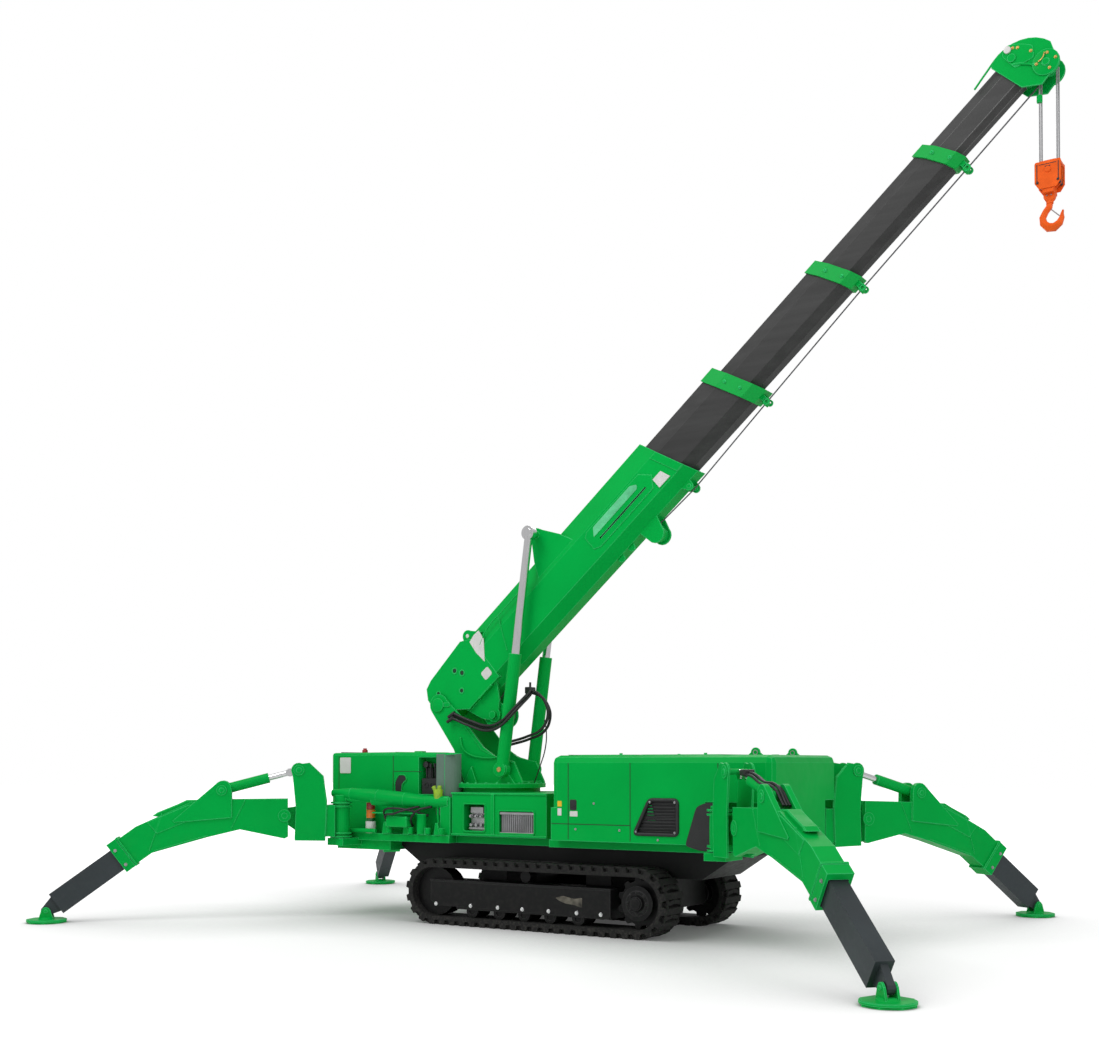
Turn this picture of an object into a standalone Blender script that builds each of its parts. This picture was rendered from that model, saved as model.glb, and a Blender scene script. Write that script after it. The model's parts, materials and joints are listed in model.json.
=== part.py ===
"""Spider crane on rubber tracks with four outriggers and a five-section boom."""
import bpy
import bmesh
from math import atan2, cos, hypot, pi, radians, sin, sqrt, tan
from mathutils import Matrix, Vector

# Fits and seats
SEAT = 0.0003
PIN_FIT = 0.0006
SLIDE_FIT = 0.007
SIDE_FIT = 0.007
OVERLAP = 0.004
JOIN = 0.020
THROUGH = 0.100
ROUND_SIDES = 16
SMALL_SIDES = 10
WIDE_SIDES = 24
WIDE_RADIUS = 0.0305
LARGE_SIDES = 32
BROAD_STEPS = 8
EYE_STEPS = 6
EYE_ARC = (11.5, 168.5)
HALF_ARC = (-90.0, 90.0)

# Chassis
CHASSIS_HALF_Y = 0.330
CHASSIS_TOP = 0.640
CHASSIS_BOTTOM = 0.430
CHASSIS_X = (-1.480, 1.560)
CHASSIS_SLOPE = 0.240
CHASSIS_SHOULDER = 0.050
AXLE_X = (-0.480, 0.480)
AXLE_SIZE = (0.220, 0.150)
AXLE_Z = 0.290
MOTOR_SIZE = (0.070, 0.060)
HANGER_SIZE = (0.090, 0.070)

# Crawler
TRACK_GAP = 0.030
TRACK_WIDTH = 0.280
TRACK_MIDDLE = CHASSIS_HALF_Y + TRACK_GAP + TRACK_WIDTH / 2
WHEEL_X = 0.929
WHEEL_Z = 0.260
BELT_RADIUS = 0.224
BELT_THICKNESS = 0.030
LUG_HEIGHT = WHEEL_Z - BELT_RADIUS
LUG_COUNT = 52
LUG_ROOT = 0.062
LUG_TIP = 0.042
BEND_STEPS = 14
WHEEL_RADIUS = (BELT_RADIUS - BELT_THICKNESS) * cos(pi / 2 / BEND_STEPS) - SEAT
FRAME_Y = (TRACK_MIDDLE - 0.105, TRACK_MIDDLE + 0.112)
FRAME_X = (-0.700, 0.710)
FRAME_Z = (0.130, 0.356)
FORK_NOSE = 0.030
FORK_DROP = 0.070
IDLER_Y = (TRACK_MIDDLE - 0.070, TRACK_MIDDLE + 0.070)
ROLLER_X = (-0.560, -0.300, -0.070, 0.170, 0.420)
ROLLER_RADIUS = 0.055
ROLLER_Y = (TRACK_MIDDLE - 0.080, TRACK_MIDDLE + 0.090)
CARRIER_X = -0.080
CARRIER_RADIUS = 0.045
CARRIER_Y = (TRACK_MIDDLE - 0.040, TRACK_MIDDLE + 0.060)
CARRIER_POST = 0.020
SPROCKET_TEETH = 11
SPROCKET_HALF = 0.045
SPROCKET_TOOTH = ((-0.17, 0.86), (-0.09, 1.0), (0.09, 1.0), (0.17, 0.86))
HUB_RADIUS = 0.095
HUB_REACH = (0.120, 0.095)
HUB_CAP = (0.060, 0.050, 0.125)

# Deck
DECK_TOP = 0.700
DECK_LEFT = (-2.130, -0.860)
DECK_RIGHT = (0.100, 1.720)
DECK_HALF_Y = 0.500
DECK_NECK_Y = DECK_HALF_Y - 0.100
UNDER_LEFT = (-2.080, -1.500)
UNDER_BOTTOM = 0.560
UNDER_HALF_Y = DECK_HALF_Y - 0.040

# Turntable base, valves and cooler
TURRET_BASE_X = (-0.860, 0.050)
TURRET_BASE_Y = DECK_HALF_Y - 0.040
TURRET_BASE_TOP = 1.050
VALVE_RECESS = (-0.745, -0.530, 0.738, 0.962)
COOLER_RECESS = (-0.400, -0.060, 0.728, 0.912)
RECESS_DEPTH = 0.160
VALVE_X = (-0.710, -0.565)
VALVE_TOP = 0.920
VALVE_SINK = 0.060
SPOOL_X = (-0.690, -0.640, -0.590)
SPOOL_Z = 0.860
SPOOL_RADIUS = 0.016
SPOOL_Y = (0.030, 0.065)
COOLER_X = (-0.385, -0.075)
COOLER_TOP = 0.895
COOLER_Y = (0.020, 0.130)
FIN_COUNT = 15
FIN_PITCH = 0.020
FIN_THICKNESS = 0.005
FIN_Z = (0.736, 0.888)
FIN_Y = (0.008, 0.025)

# Engine hood, grille and engine
HOOD_X = (0.180, 2.000)
HOOD_HALF_Y = DECK_HALF_Y + 0.100
HOOD_TOP = 1.345
HOOD_CORNER = 0.055
HOOD_SILL = 0.950
HOOD_WALL = 0.020
HOOD_ROOF = 0.050
HOOD_HOLLOW_END = 1.460
NOTCHES = ((-1, 1.480), (1, 1.640))
NOTCH_DEPTH = 0.240
NOTCH_TOP = 1.010
GRILLE_X = (0.905, 1.260)
GRILLE_Z = (0.768, 1.020)
GRILLE_LEAN = 0.125
GRILLE_LAP = 0.013
GRILLE_PLATE = 0.010
GRILLE_PROUD = 0.010
GRILLE_ROOT = 0.005
GRILLE_BARS = 9
ENGINE_X = (0.560, 1.300)
ENGINE_HALF_Y = 0.250
ENGINE_TOP = 1.180

# Control cover, console and lamp
COVER_X = (-2.230, -0.980)
COVER_HALF_Y = DECK_HALF_Y - 0.100
COVER_TOP = 1.375
COVER_CORNER = (0.040, 0.060)
COVER_RIM = 0.022
WELL_X = -1.140
WELL_HALF_Y = 0.120
WELL_MOUTH = 0.070
DESK_X = (-1.250, -1.020)
DESK_Z = (1.030, 1.335)
DESK_DEPTH = 0.100
CONSOLE_X = (-1.230, -1.050)
CONSOLE_TOP = 1.160
CONSOLE_SINK = 0.020
LEVER_X = (-1.205, -1.160, -1.115, -1.070)
LEVER_SINK = (0.055, 0.048, 0.047)
LEVER_Z = (1.150, 1.255, 1.270, 1.285)
LEVER_RADIUS = 0.008
KNOB_RADIUS = 0.014
LAMP_X = -1.700
LAMP_Y = DECK_HALF_Y - 0.025
LAMP_RINGS = (
    # bottom, top, radius, top radius
    (DECK_TOP + SEAT, 0.780, 0.038, 0.038),
    (0.775, 0.960, 0.032, 0.032),
    (0.955, 0.972, 0.034, 0.026),
)

# Outrigger posts and stance
POST_Y = DECK_HALF_Y + 0.120
POST_RADIUS = 0.045
POST_BOTTOM = 0.600
POST_TOP = 0.970
SLEEVE_RADIUS = 0.070
SLEEVE_Z = (0.665, 0.945)
SLEEVE_GAP = 0.006
POST_FOOT_X = 0.085
POST_FOOT_RIM = 0.075
POST_FOOT_ROOT = DECK_HALF_Y - 0.080
POST_CAP_RADIUS = 0.062
POST_CAP_RISE = 0.015
BRACE_Z = 0.990
BRACE_RUN = 1.000
BRACE_END_Y = DECK_HALF_Y - 0.060
BRACE_DROP = 0.020
BRACE_BEND = 0.3
BRACE_RADII = (0.028, 0.048)
BRACE_CAP_RISE = 0.030
BRACE_FOOT_X = (-0.070, 0.030)
BRACE_FOOT_Y = 0.035
BRACE_FOOT_RISE = 0.040
ARM_PIVOT = (0.470, 0.851)
ARM_HALF_Y = 0.076
ARM_MOUTH = (1.329, -0.341)
ARM_OUTLINE = (
    (-0.030, 0.140), (0.450, 0.140), (0.750, 0.122), (1.188, -0.075), (1.358, -0.199), (1.213, -0.399),
    (1.059, -0.290), (0.623, -0.170), (0.360, -0.109), (0.000, -0.190), (-0.030, -0.175),
)
ARM_COLLAR_LENGTH = 0.085
ARM_COLLAR_WALL = (0.030, 0.028)
ARM_COLLAR_CREST = 0.022
ARM_PIN = 0.024
EAR_Y = (0.052, 0.090)
EAR_ROUND = 0.068
EAR_ARC = (50.0, 180.0)
EAR_BACK = 0.080
EAR_TOE = ((0.895, -0.030), (0.885, -0.045))
EAR_BOLT = 0.018
BRACKET_WALL = 0.014
BRACKET_OUTLINE = (
    (0.135, 0.640), (0.386, 0.645), (0.377, 0.916), (0.400, 1.162),
)
BRACKET_BACK = ((0.265, 1.290), (0.150, 1.180), (0.120, 0.970))
BRACKET_ROUND = 0.062
BRACKET_ARC = (-30.0, 120.0)
BRACKET_BOLT = 0.020
TONGUE_HALF = 0.028
TONGUE_ROOT = 0.050
TONGUE_ROUND = 0.060
TONGUE_REACH = (0.130, 0.090, 0.075)
TONGUE_NECK = 0.100
WEB_X = (0.055, 0.200)
WEB_INSET = 0.010
LEG_SLOPE = 36.0
LEG_DEPTH = 0.190
LEG_WIDTH = 0.116
LEG_INSIDE = 0.200
LEG_OUTSIDE = 0.590
SLOT_DEPTH = 0.340
ANKLE = 0.690
ANKLE_Z = 0.095
EAR_PIN = (0.506, 0.216)
BRACKET_PIN = (0.353, 1.228)
JACK_MOUTH = 0.394
JACK_STROKE_ROOM = 0.350
JACK_BARREL = 0.042
JACK_ROD = 0.024
JACK_FOOT = 0.036
JACK_EYE = 0.034
JACK_BORE_START = 0.060
JACK_EYE_BACK = 0.075
JACK_ROD_BACK = 0.045
JACK_FOOT_HALF = 0.030
LEG_TONGUE = (0.130, 0.080, 0.042, 0.024)
LEG_WEAR_PAD = (0.075, 0.015, 0.030, 0.012)
FORK_SWEEP = 0.100
FORK_CUT = 0.300
PAD_RADIUS = 0.155
PAD_THICKNESS = 0.030
PAD_SIDES = 8
PAD_BOLT = 0.014
PAD_EAR = (0.060, 0.020, 0.034, 0.010, 0.032)
PAD_EAR_WALL = 0.014
LEGS = (
    # name, post x, side, heading, extension
    ("near_rear", -1.900, -1, -136.5, 0.00),
    ("far_rear", -1.900, 1, 141.5, -0.08),
    ("near_front", 1.600, -1, -43.0, 0.08),
    ("far_front", 1.800, 1, 58.0, -0.08),
)

# Turret
TURRET_X = -0.700
RING_RADIUS = 0.330
RING_TOP = TURRET_BASE_TOP + 0.040
TABLE_RADIUS = 0.375
TABLE_TOP = RING_TOP + 0.030
CHEEK_Y = (0.153, 0.169)
FOOT_PIN = (-1.219, 1.776)
FOOT_BOLT = 0.030
FOOT_CROWN = 0.092
FOOT_CROWN_ARC = (25.0, 215.0)
CHEEK_FRONT = (
    (0.330, 1.135), (0.245, 1.300), (0.080, 1.330), (-0.060, 1.420), (-0.300, 1.690),
)
CHEEK_REAR = ((-0.360, 1.400), (-0.235, RING_TOP))
CHEEK_TOE = (0.330, RING_TOP)
TURRET_BACK = ((-0.225, RING_TOP), (-0.205, RING_TOP), (-0.310, 1.360), (-0.330, 1.360))
TURRET_FRONT = (0.285, 0.305, 1.140)
LUFF_PIN = (-0.528, 1.235)
LUFF_BOLT = 0.020
LUFF_HEAD_GAP = 0.012
LUFF_Y = 0.228

# Boom
ELEVATION = 41.2
SLANT = 21.0
BASE_HEIGHT = 0.530
BASE_WIDTH = 0.286
BASE_START = 0.300
BASE_END = 2.825
BASE_CHEEK_PROUD = 0.003
BASE_CHEEK_TOP = ((0.60, 0.20), (0.50, 0.262), (0.06, 0.225), (-0.02, 0.200), (-0.07, 0.120))
BASE_CHEEK_BOTTOM = ((0.200, -0.228), (0.60, -0.228))
BASE_HEEL = 0.085
BASE_HEEL_ARC = (150.0, 290.0)
BORE_LEAD = 0.030
SECTION_GAP = 0.010
SECTIONS = (
    # name, less high and less wide than the one before, inner end, tip, collar length
    ("boom_section_2", 0.100, 0.036, 0.950, 3.610, 0.130),
    ("boom_section_3", 0.095, 0.045, 2.150, 4.640, 0.110),
    ("boom_section_4", 0.050, 0.033, 3.250, 5.655, 0.100),
    ("boom_section_5", 0.050, 0.033, 4.250, 6.270, 0.050),
)
PROFILE_FLAT = 0.44
PROFILE_TOP = 0.495
PROFILE_SHOULDER = 0.135
PROFILE_HIP = -0.345
PROFILE_BELLY = -0.505
COLLAR_WALL = (0.034, 0.030)
WEAR_PAD = (0.100, 0.020, 0.020, 0.016)
BASE_WEAR_PAD = (0.200, 0.040, 0.030, 0.020)
GUIDE_DROP = 0.062
GUIDE_RADII = (0.030, 0.018)
GUIDE_HALF = 0.018
GUIDE_STEM = (0.012, 0.024, 0.010)
LUFF_EYE = (1.612, 0.395)
LUFF_EAR_Y = (0.085, 0.125)
LUFF_EAR = ((-0.22, 0.10), (0.22, 0.10), (0.16, 0.24), (-0.16, 0.24))
LUFF_EAR_ROUND = 0.055
LUFF_EYE_BOLT = 0.030
LUFF_EYE_REACH = 0.188
ROPE_WHEEL = (2.360, -0.360, 0.055, 0.045)
ROPE_BRACKET = (0.060, 0.035, 0.020)
WINCH = (0.338, -0.417)
WINCH_CHEEK_Y = (0.095, 0.113)
WINCH_CHEEK = ((0.16, -0.20), (0.56, -0.20), (0.46, -0.36), (0.23, -0.36))
WINCH_CHEEK_ROUND = 0.060
WINCH_ARC = (0.0, -180.0)
WINCH_SHAFT = 0.032
WINCH_SHAFT_HALF = 0.140
DRUM_RADIUS = 0.085
DRUM_HALF = 0.088
DRUM_RIM = (0.112, 0.082, 0.006)

# Luffing cylinders
LUFF_BARREL = 0.052
LUFF_ROD = 0.033
LUFF_MOUTH = 0.943
LUFF_PISTON = 0.612
LUFF_FOOT = (0.062, 0.028)
LUFF_BORE_START = 0.080
LUFF_HEAD = (0.058, 0.026)
LUFF_CAP = (0.034, 0.020, 0.034)

# Boom head and hook
HEAD_PIN = (6.440, -0.150)
HEAD_PIN_BOLT = (0.024, 0.102)
HEAD_IDLER = (0.060, 0.060, 0.028, 0.098)
HEAD_WALL = 0.014
HEAD_CROWN = (0.020, -0.105)
HEAD_RISE = 0.0395
HEAD_CROWN_ARC = (8.0, 100.0)
HEAD_ROOF = (0.002, 0.016)
HEAD_ROOF_ARC = (25.0, 97.0)
HEAD_LIP = 0.088
HEAD_LIP_STEPS = 7
HEAD_LIP_ARC = (-120.0, 15.0)
HEAD_BACK = (0.060, 0.010)
HEAD_KEEL = (0.030, 0.020)
HEAD_THROAT = (0.060, 0.085)
HEAD_STOP = ((0.005, 0.10), (0.005, -0.10), (0.035, -0.115), (0.035, 0.10))
HOOK_DROP = 0.700
FALL_X = 0.055
FALL_Y = 0.030
ROPE_RADIUS = 0.006
BOW_STEPS = 6
SHEAVE_RADIUS = FALL_X * cos(pi / 2 / BOW_STEPS) - ROPE_RADIUS - PIN_FIT
SHEAVE_HALF = 0.010
BLOCK_CHEEK = (
    (-0.050, 0.060), (0.050, 0.060), (0.085, 0.010), (0.075, -0.085), (0.030, -0.125), (-0.030, -0.125),
    (-0.075, -0.085), (-0.085, 0.010),
)
BLOCK_CHEEK_Y = (-0.052, 0.0, 0.052)
BLOCK_WALL = 0.008
BLOCK_PIN = (0.020, 0.066)
BLOCK_FOOT = (0.035, 0.055, 0.150, 0.085)
SHANK = (0.024, 0.060)
CLAW = (
    # across, up, radius
    (0.000, -0.050, 0.022), (-0.004, -0.082, 0.022), (-0.026, -0.108, 0.021), (-0.046, -0.146, 0.023),
    (-0.040, -0.186, 0.027), (-0.012, -0.216, 0.030), (0.028, -0.222, 0.029), (0.062, -0.198, 0.024),
    (0.077, -0.164, 0.017), (0.078, -0.140, 0.011), (0.084, -0.118, 0.006),
)

GREEN = (0.0, 0.330, 0.060, 1.0)
BLACK = (0.020, 0.020, 0.022, 1.0)
RUBBER = (0.015, 0.015, 0.016, 1.0)
BOOM_GREY = (0.055, 0.055, 0.056, 1.0)
LEG_GREY = (0.040, 0.050, 0.060, 1.0)
STEEL = (0.450, 0.450, 0.460, 1.0)
CHROME = (0.800, 0.800, 0.810, 1.0)
ORANGE = (0.880, 0.110, 0.012, 1.0)
RED = (0.700, 0.020, 0.020, 1.0)

IDENTITY = Matrix.Identity(4)


# Stance

def leg_lift(extension):
    slope = radians(LEG_SLOPE)
    reach = ANKLE + extension
    ankle = (ARM_MOUTH[0] + reach * cos(slope), ARM_MOUTH[1] - reach * sin(slope))
    drop = ARM_PIVOT[1] - ANKLE_Z
    run = sqrt(hypot(*ankle) ** 2 - drop ** 2)
    return atan2(-drop, run) - atan2(ankle[1], ankle[0]), ARM_PIVOT[0] + run


def stance_middle():
    feet = [side * POST_Y + leg_lift(extension)[1] * sin(radians(heading))
            for name, x, side, heading, extension in LEGS]
    return (min(feet) + max(feet)) / 2


# The origin is on the ground in the middle of the stance, so the machine stands a little to the near side
MACHINE = Matrix.Translation((0, -stance_middle(), 0))


# Scene and materials

def clear_scene():
    for item in list(bpy.data.objects):
        bpy.data.objects.remove(item, do_unlink=True)


def new_collection(name, hidden):
    group = bpy.data.collections.new(name)
    bpy.context.scene.collection.children.link(group)
    group.hide_render = hidden
    return group


def paint(name, colour, roughness, metallic):
    material = bpy.data.materials.new(name)
    material.use_nodes = True
    shader = material.node_tree.nodes["Principled BSDF"]
    shader.inputs["Base Color"].default_value = colour
    shader.inputs["Roughness"].default_value = roughness
    shader.inputs["Metallic"].default_value = metallic
    material.diffuse_color = colour
    return material


# Solids

def tool(mesh, frame):
    item = bpy.data.objects.new("tool", mesh)
    TOOLS.objects.link(item)
    item.matrix_world = MACHINE @ frame
    item.hide_render = True
    item.display_type = "WIRE"
    return item


def box(low, high, frame=IDENTITY, soft=0.0):
    solid = bmesh.new()
    bmesh.ops.create_cube(solid, size=1.0)
    low, high = Vector(low), Vector(high)
    size = high - low
    bmesh.ops.scale(solid, vec=size, verts=solid.verts)
    bmesh.ops.translate(solid, vec=(low + high) / 2, verts=solid.verts)
    if soft:
        bmesh.ops.bevel(solid, geom=solid.edges, offset=soft, segments=2, affect="EDGES", profile=0.5)
    mesh = bpy.data.meshes.new("box")
    solid.to_mesh(mesh)
    solid.free()
    return tool(mesh, frame)


def rod(start, end, radius, frame=IDENTITY, tip=None, sides=None):
    sides = sides or (WIDE_SIDES if radius > WIDE_RADIUS else ROUND_SIDES)
    start, end = Vector(start), Vector(end)
    axis = end - start
    solid = bmesh.new()
    bmesh.ops.create_cone(
        solid, cap_ends=True, segments=sides, radius1=radius,
        radius2=radius if tip is None else tip, depth=axis.length,
    )
    turn = axis.to_track_quat("Z", "Y").to_matrix().to_4x4()
    solid.transform(Matrix.Translation((start + end) / 2) @ turn)
    mesh = bpy.data.meshes.new("rod")
    solid.to_mesh(mesh)
    solid.free()
    return tool(mesh, frame)


def curve_solid(curve, frame):
    item = bpy.data.objects.new("outline", curve)
    bpy.context.scene.collection.objects.link(item)
    bpy.context.view_layer.update()
    graph = bpy.context.evaluated_depsgraph_get()
    mesh = bpy.data.meshes.new_from_object(item.evaluated_get(graph))
    bpy.data.objects.remove(item, do_unlink=True)
    bpy.data.curves.remove(curve)
    solid = bmesh.new()
    solid.from_mesh(mesh)
    bmesh.ops.remove_doubles(solid, verts=solid.verts, dist=0.00005)
    bmesh.ops.recalc_face_normals(solid, faces=solid.faces)
    solid.to_mesh(mesh)
    solid.free()
    return tool(mesh, frame)


STAND = Matrix.Rotation(pi / 2, 4, "X")
CROSS = Matrix(((0, 0, 1, 0), (1, 0, 0, 0), (0, 1, 0, 0), (0, 0, 0, 1)))


def sides_of(side, near, far):
    return sorted((side * near, side * far))


def slab(points, low, high, frame=IDENTITY, plane="XZ", shear=0.0, holes=()):
    curve = bpy.data.curves.new("outline", "CURVE")
    curve.dimensions = "2D"
    curve.fill_mode = "BOTH"
    curve.extrude = (high - low) / 2
    for loop in (points, *holes):
        spline = curve.splines.new("POLY")
        spline.points.add(len(loop) - 1)
        for point, (u, v) in zip(spline.points, loop):
            point.co = (u, v, 0.0, 1.0)
        spline.use_cyclic_u = True
    item = curve_solid(curve, frame)
    middle = (high + low) / 2
    if plane == "XZ":
        item.data.transform(Matrix.Translation((0, middle, 0)) @ STAND)
    elif plane == "YZ":
        item.data.transform(Matrix.Translation((middle, 0, 0)) @ CROSS)
    else:
        item.data.transform(Matrix.Translation((0, 0, middle)))
    if shear:
        lean = Matrix.Identity(4)
        lean[0][2] = -shear
        item.data.transform(lean)
    return item


def disc(centre, radius, count=ROUND_SIDES, start=0.0, end=2 * pi):
    full = abs(end - start - 2 * pi) < 0.001
    steps = count if full else count + 1
    return [
        (centre[0] + radius * cos(start + (end - start) * i / count),
         centre[1] + radius * sin(start + (end - start) * i / count))
        for i in range(steps)
    ]


def arc(centre, radius, steps, span):
    return disc(centre, radius, steps, radians(span[0]), radians(span[1]))


def pipe(points, radius, frame=IDENTITY, sides=2):
    curve = bpy.data.curves.new("route", "CURVE")
    curve.dimensions = "3D"
    curve.bevel_depth = radius
    curve.bevel_resolution = sides
    curve.use_fill_caps = True
    spline = curve.splines.new("POLY")
    spline.points.add(len(points) - 1)
    for point, place in zip(spline.points, points):
        point.co = (*place, 1.0)
    return curve_solid(curve, frame)


def horn(points, frame):
    curve = bpy.data.curves.new("horn", "CURVE")
    curve.dimensions = "3D"
    curve.bevel_depth = 1.0
    curve.bevel_resolution = 1
    curve.use_fill_caps = True
    spline = curve.splines.new("POLY")
    spline.points.add(len(points) - 1)
    for point, (x, z, radius) in zip(spline.points, points):
        point.co = (x, 0.0, z, 1.0)
        point.radius = radius
    return curve_solid(curve, frame)


def soften(item, height, width):
    solid = bmesh.new()
    solid.from_mesh(item.data)
    rim = [edge for edge in solid.edges if min(end.co.z for end in edge.verts) > height]
    bmesh.ops.bevel(solid, geom=rim, offset=width, segments=2, affect="EDGES", profile=0.5)
    solid.to_mesh(item.data)
    solid.free()
    return item


def part(name, material, solids, cuts=(), pins=(), smooth=True):
    body = solids[0]
    TOOLS.objects.unlink(body)
    PARTS.objects.link(body)
    body.name = name
    body.data.name = name
    body.hide_render = False
    body.display_type = "TEXTURED"
    for index, other in enumerate(solids[1:]):
        other.name = name + "_join_" + str(index)
        join = body.modifiers.new(other.name, "BOOLEAN")
        join.operation = "UNION"
        join.solver = "EXACT"
        join.object = other
    for index, other in enumerate(cuts):
        other.name = name + "_cut_" + str(index)
        cut = body.modifiers.new(other.name, "BOOLEAN")
        cut.operation = "DIFFERENCE"
        cut.solver = "EXACT"
        cut.object = other
    for index, other in enumerate(pins):
        other.name = name + "_pin_" + str(index)
        join = body.modifiers.new(other.name, "BOOLEAN")
        join.operation = "UNION"
        join.solver = "EXACT"
        join.object = other
    body.data.materials.append(material)
    if smooth:
        body.data.shade_smooth()
        body.data.set_sharp_from_angle(angle=radians(32))
    return body


# Crawler

def track_outline():
    straight = 2 * WHEEL_X
    bend = pi * BELT_RADIUS
    loop = 2 * (straight + bend)

    def place(run, rise):
        run = run % loop
        if run < straight:
            return (-WHEEL_X + run, WHEEL_Z - BELT_RADIUS - rise)
        run -= straight
        if run < bend:
            angle = -pi / 2 + run / BELT_RADIUS
            reach = BELT_RADIUS + rise
            return (WHEEL_X + reach * cos(angle), WHEEL_Z + reach * sin(angle))
        run -= bend
        if run < straight:
            return (WHEEL_X - run, WHEEL_Z + BELT_RADIUS + rise)
        run -= straight
        angle = pi / 2 + run / BELT_RADIUS
        reach = BELT_RADIUS + rise
        return (-WHEEL_X + reach * cos(angle), WHEEL_Z + reach * sin(angle))

    pitch = loop / LUG_COUNT
    outline = []
    for index in range(LUG_COUNT):
        middle = index * pitch
        outline.append(place(middle - LUG_ROOT / 2, 0.0))
        outline.append(place(middle - LUG_TIP / 2, LUG_HEIGHT))
        outline.append(place(middle + LUG_TIP / 2, LUG_HEIGHT))
        outline.append(place(middle + LUG_ROOT / 2, 0.0))
    return outline


def belt_inside():
    inner = BELT_RADIUS - BELT_THICKNESS
    right = disc((WHEEL_X, WHEEL_Z), inner, BEND_STEPS, -pi / 2, pi / 2)
    left = disc((-WHEEL_X, WHEEL_Z), inner, BEND_STEPS, pi / 2, 3 * pi / 2)
    return right + left


def build_track(name, side):
    frame = Matrix.Translation((0, side * TRACK_MIDDLE, 0))
    loop = slab(track_outline(), -TRACK_WIDTH / 2, TRACK_WIDTH / 2, frame, holes=(belt_inside(),))
    part(name + "_track", RUBBER_PAINT, [loop], smooth=False)


def build_track_frame(name, side):
    low, high = sides_of(side, *FRAME_Y)
    reach = BELT_RADIUS - BELT_THICKNESS - SEAT
    beam = box((FRAME_X[0], low, FRAME_Z[0]), (FRAME_X[1], high, FRAME_Z[1]))
    fork = box((-WHEEL_X - FORK_NOSE, low, WHEEL_Z - FORK_DROP), (FRAME_X[0] + JOIN, high, FRAME_Z[1] - SEAT))
    idler = rod((-WHEEL_X, side * IDLER_Y[0], WHEEL_Z), (-WHEEL_X, side * IDLER_Y[1], WHEEL_Z), WHEEL_RADIUS)
    solids = [beam, fork, idler]
    z = WHEEL_Z - reach + ROLLER_RADIUS
    for x in ROLLER_X:
        solids.append(rod((x, side * ROLLER_Y[0], z), (x, side * ROLLER_Y[1], z), ROLLER_RADIUS))
    z = WHEEL_Z + reach - CARRIER_RADIUS
    near, far = CARRIER_Y
    solids.append(rod((CARRIER_X, side * near, z), (CARRIER_X, side * far, z), CARRIER_RADIUS))
    y = side * (near + far) / 2
    solids.append(box((CARRIER_X - CARRIER_POST, y - CARRIER_POST, FRAME_Z[1] - JOIN),
                      (CARRIER_X + CARRIER_POST, y + CARRIER_POST, z)))
    part(name + "_track_frame", BLACK_PAINT, solids)


def build_sprocket(name, side):
    rim = []
    for index in range(SPROCKET_TEETH):
        middle = 2 * pi * index / SPROCKET_TEETH
        for offset, share in SPROCKET_TOOTH:
            reach = WHEEL_RADIUS * share
            rim.append((reach * cos(middle + offset), reach * sin(middle + offset)))
    frame = Matrix.Translation((WHEEL_X, side * TRACK_MIDDLE, WHEEL_Z))
    wheel_body = slab(rim, -SPROCKET_HALF, SPROCKET_HALF, frame)
    inside, outside = HUB_REACH
    hub = rod((0, -side * inside, 0), (0, side * outside, 0), HUB_RADIUS, frame)
    root, tip, reach = HUB_CAP
    cap = rod((0, side * (outside - OVERLAP), 0), (0, side * reach, 0), root, frame, tip=tip)
    part(name + "_sprocket", BLACK_PAINT, [wheel_body, hub, cap])


# Chassis

def build_chassis():
    left, right = CHASSIS_X
    shoulder = CHASSIS_TOP - CHASSIS_SHOULDER
    outline = [
        (left, CHASSIS_TOP), (left, shoulder), (left + CHASSIS_SLOPE, CHASSIS_BOTTOM),
        (right - CHASSIS_SLOPE, CHASSIS_BOTTOM), (right, shoulder), (right, CHASSIS_TOP),
    ]
    solids = [slab(outline, -CHASSIS_HALF_Y, CHASSIS_HALF_Y)]
    reach = FRAME_Y[0] - SEAT
    for x in AXLE_X:
        solids.append(box((x - AXLE_SIZE[0] / 2, -reach, AXLE_Z - AXLE_SIZE[1] / 2),
                          (x + AXLE_SIZE[0] / 2, reach, CHASSIS_BOTTOM + JOIN)))
    reach = TRACK_MIDDLE - HUB_REACH[0] - SEAT
    long, tall = MOTOR_SIZE
    solids.append(box((WHEEL_X - long, -reach, WHEEL_Z - tall), (WHEEL_X + long, reach, WHEEL_Z + tall)))
    long, tall = HANGER_SIZE
    solids.append(box((WHEEL_X - long, -CHASSIS_HALF_Y, WHEEL_Z - tall),
                      (WHEEL_X + long, CHASSIS_HALF_Y, CHASSIS_BOTTOM + JOIN)))
    part("chassis_frame", BLACK_PAINT, solids)


def build_deck():
    low = CHASSIS_TOP + SEAT
    solids = [box((DECK_LEFT[0], -DECK_HALF_Y, low), (DECK_LEFT[1], DECK_HALF_Y, DECK_TOP))]
    solids.append(box((DECK_LEFT[1] - JOIN, -DECK_NECK_Y, low),
                      (DECK_RIGHT[0] + JOIN, DECK_NECK_Y, DECK_TOP - OVERLAP)))
    solids.append(box((DECK_RIGHT[0], -DECK_HALF_Y, low), (DECK_RIGHT[1], DECK_HALF_Y, DECK_TOP)))
    solids.append(box((UNDER_LEFT[0], -UNDER_HALF_Y, UNDER_BOTTOM),
                      (UNDER_LEFT[1], UNDER_HALF_Y, low + OVERLAP)))
    for name, x, side, heading, extension in LEGS:
        solids += swing_post(x, side)
        if x < 0:
            solids += post_brace(x, side)
    part("deck", GREEN_PAINT, solids)


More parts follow.
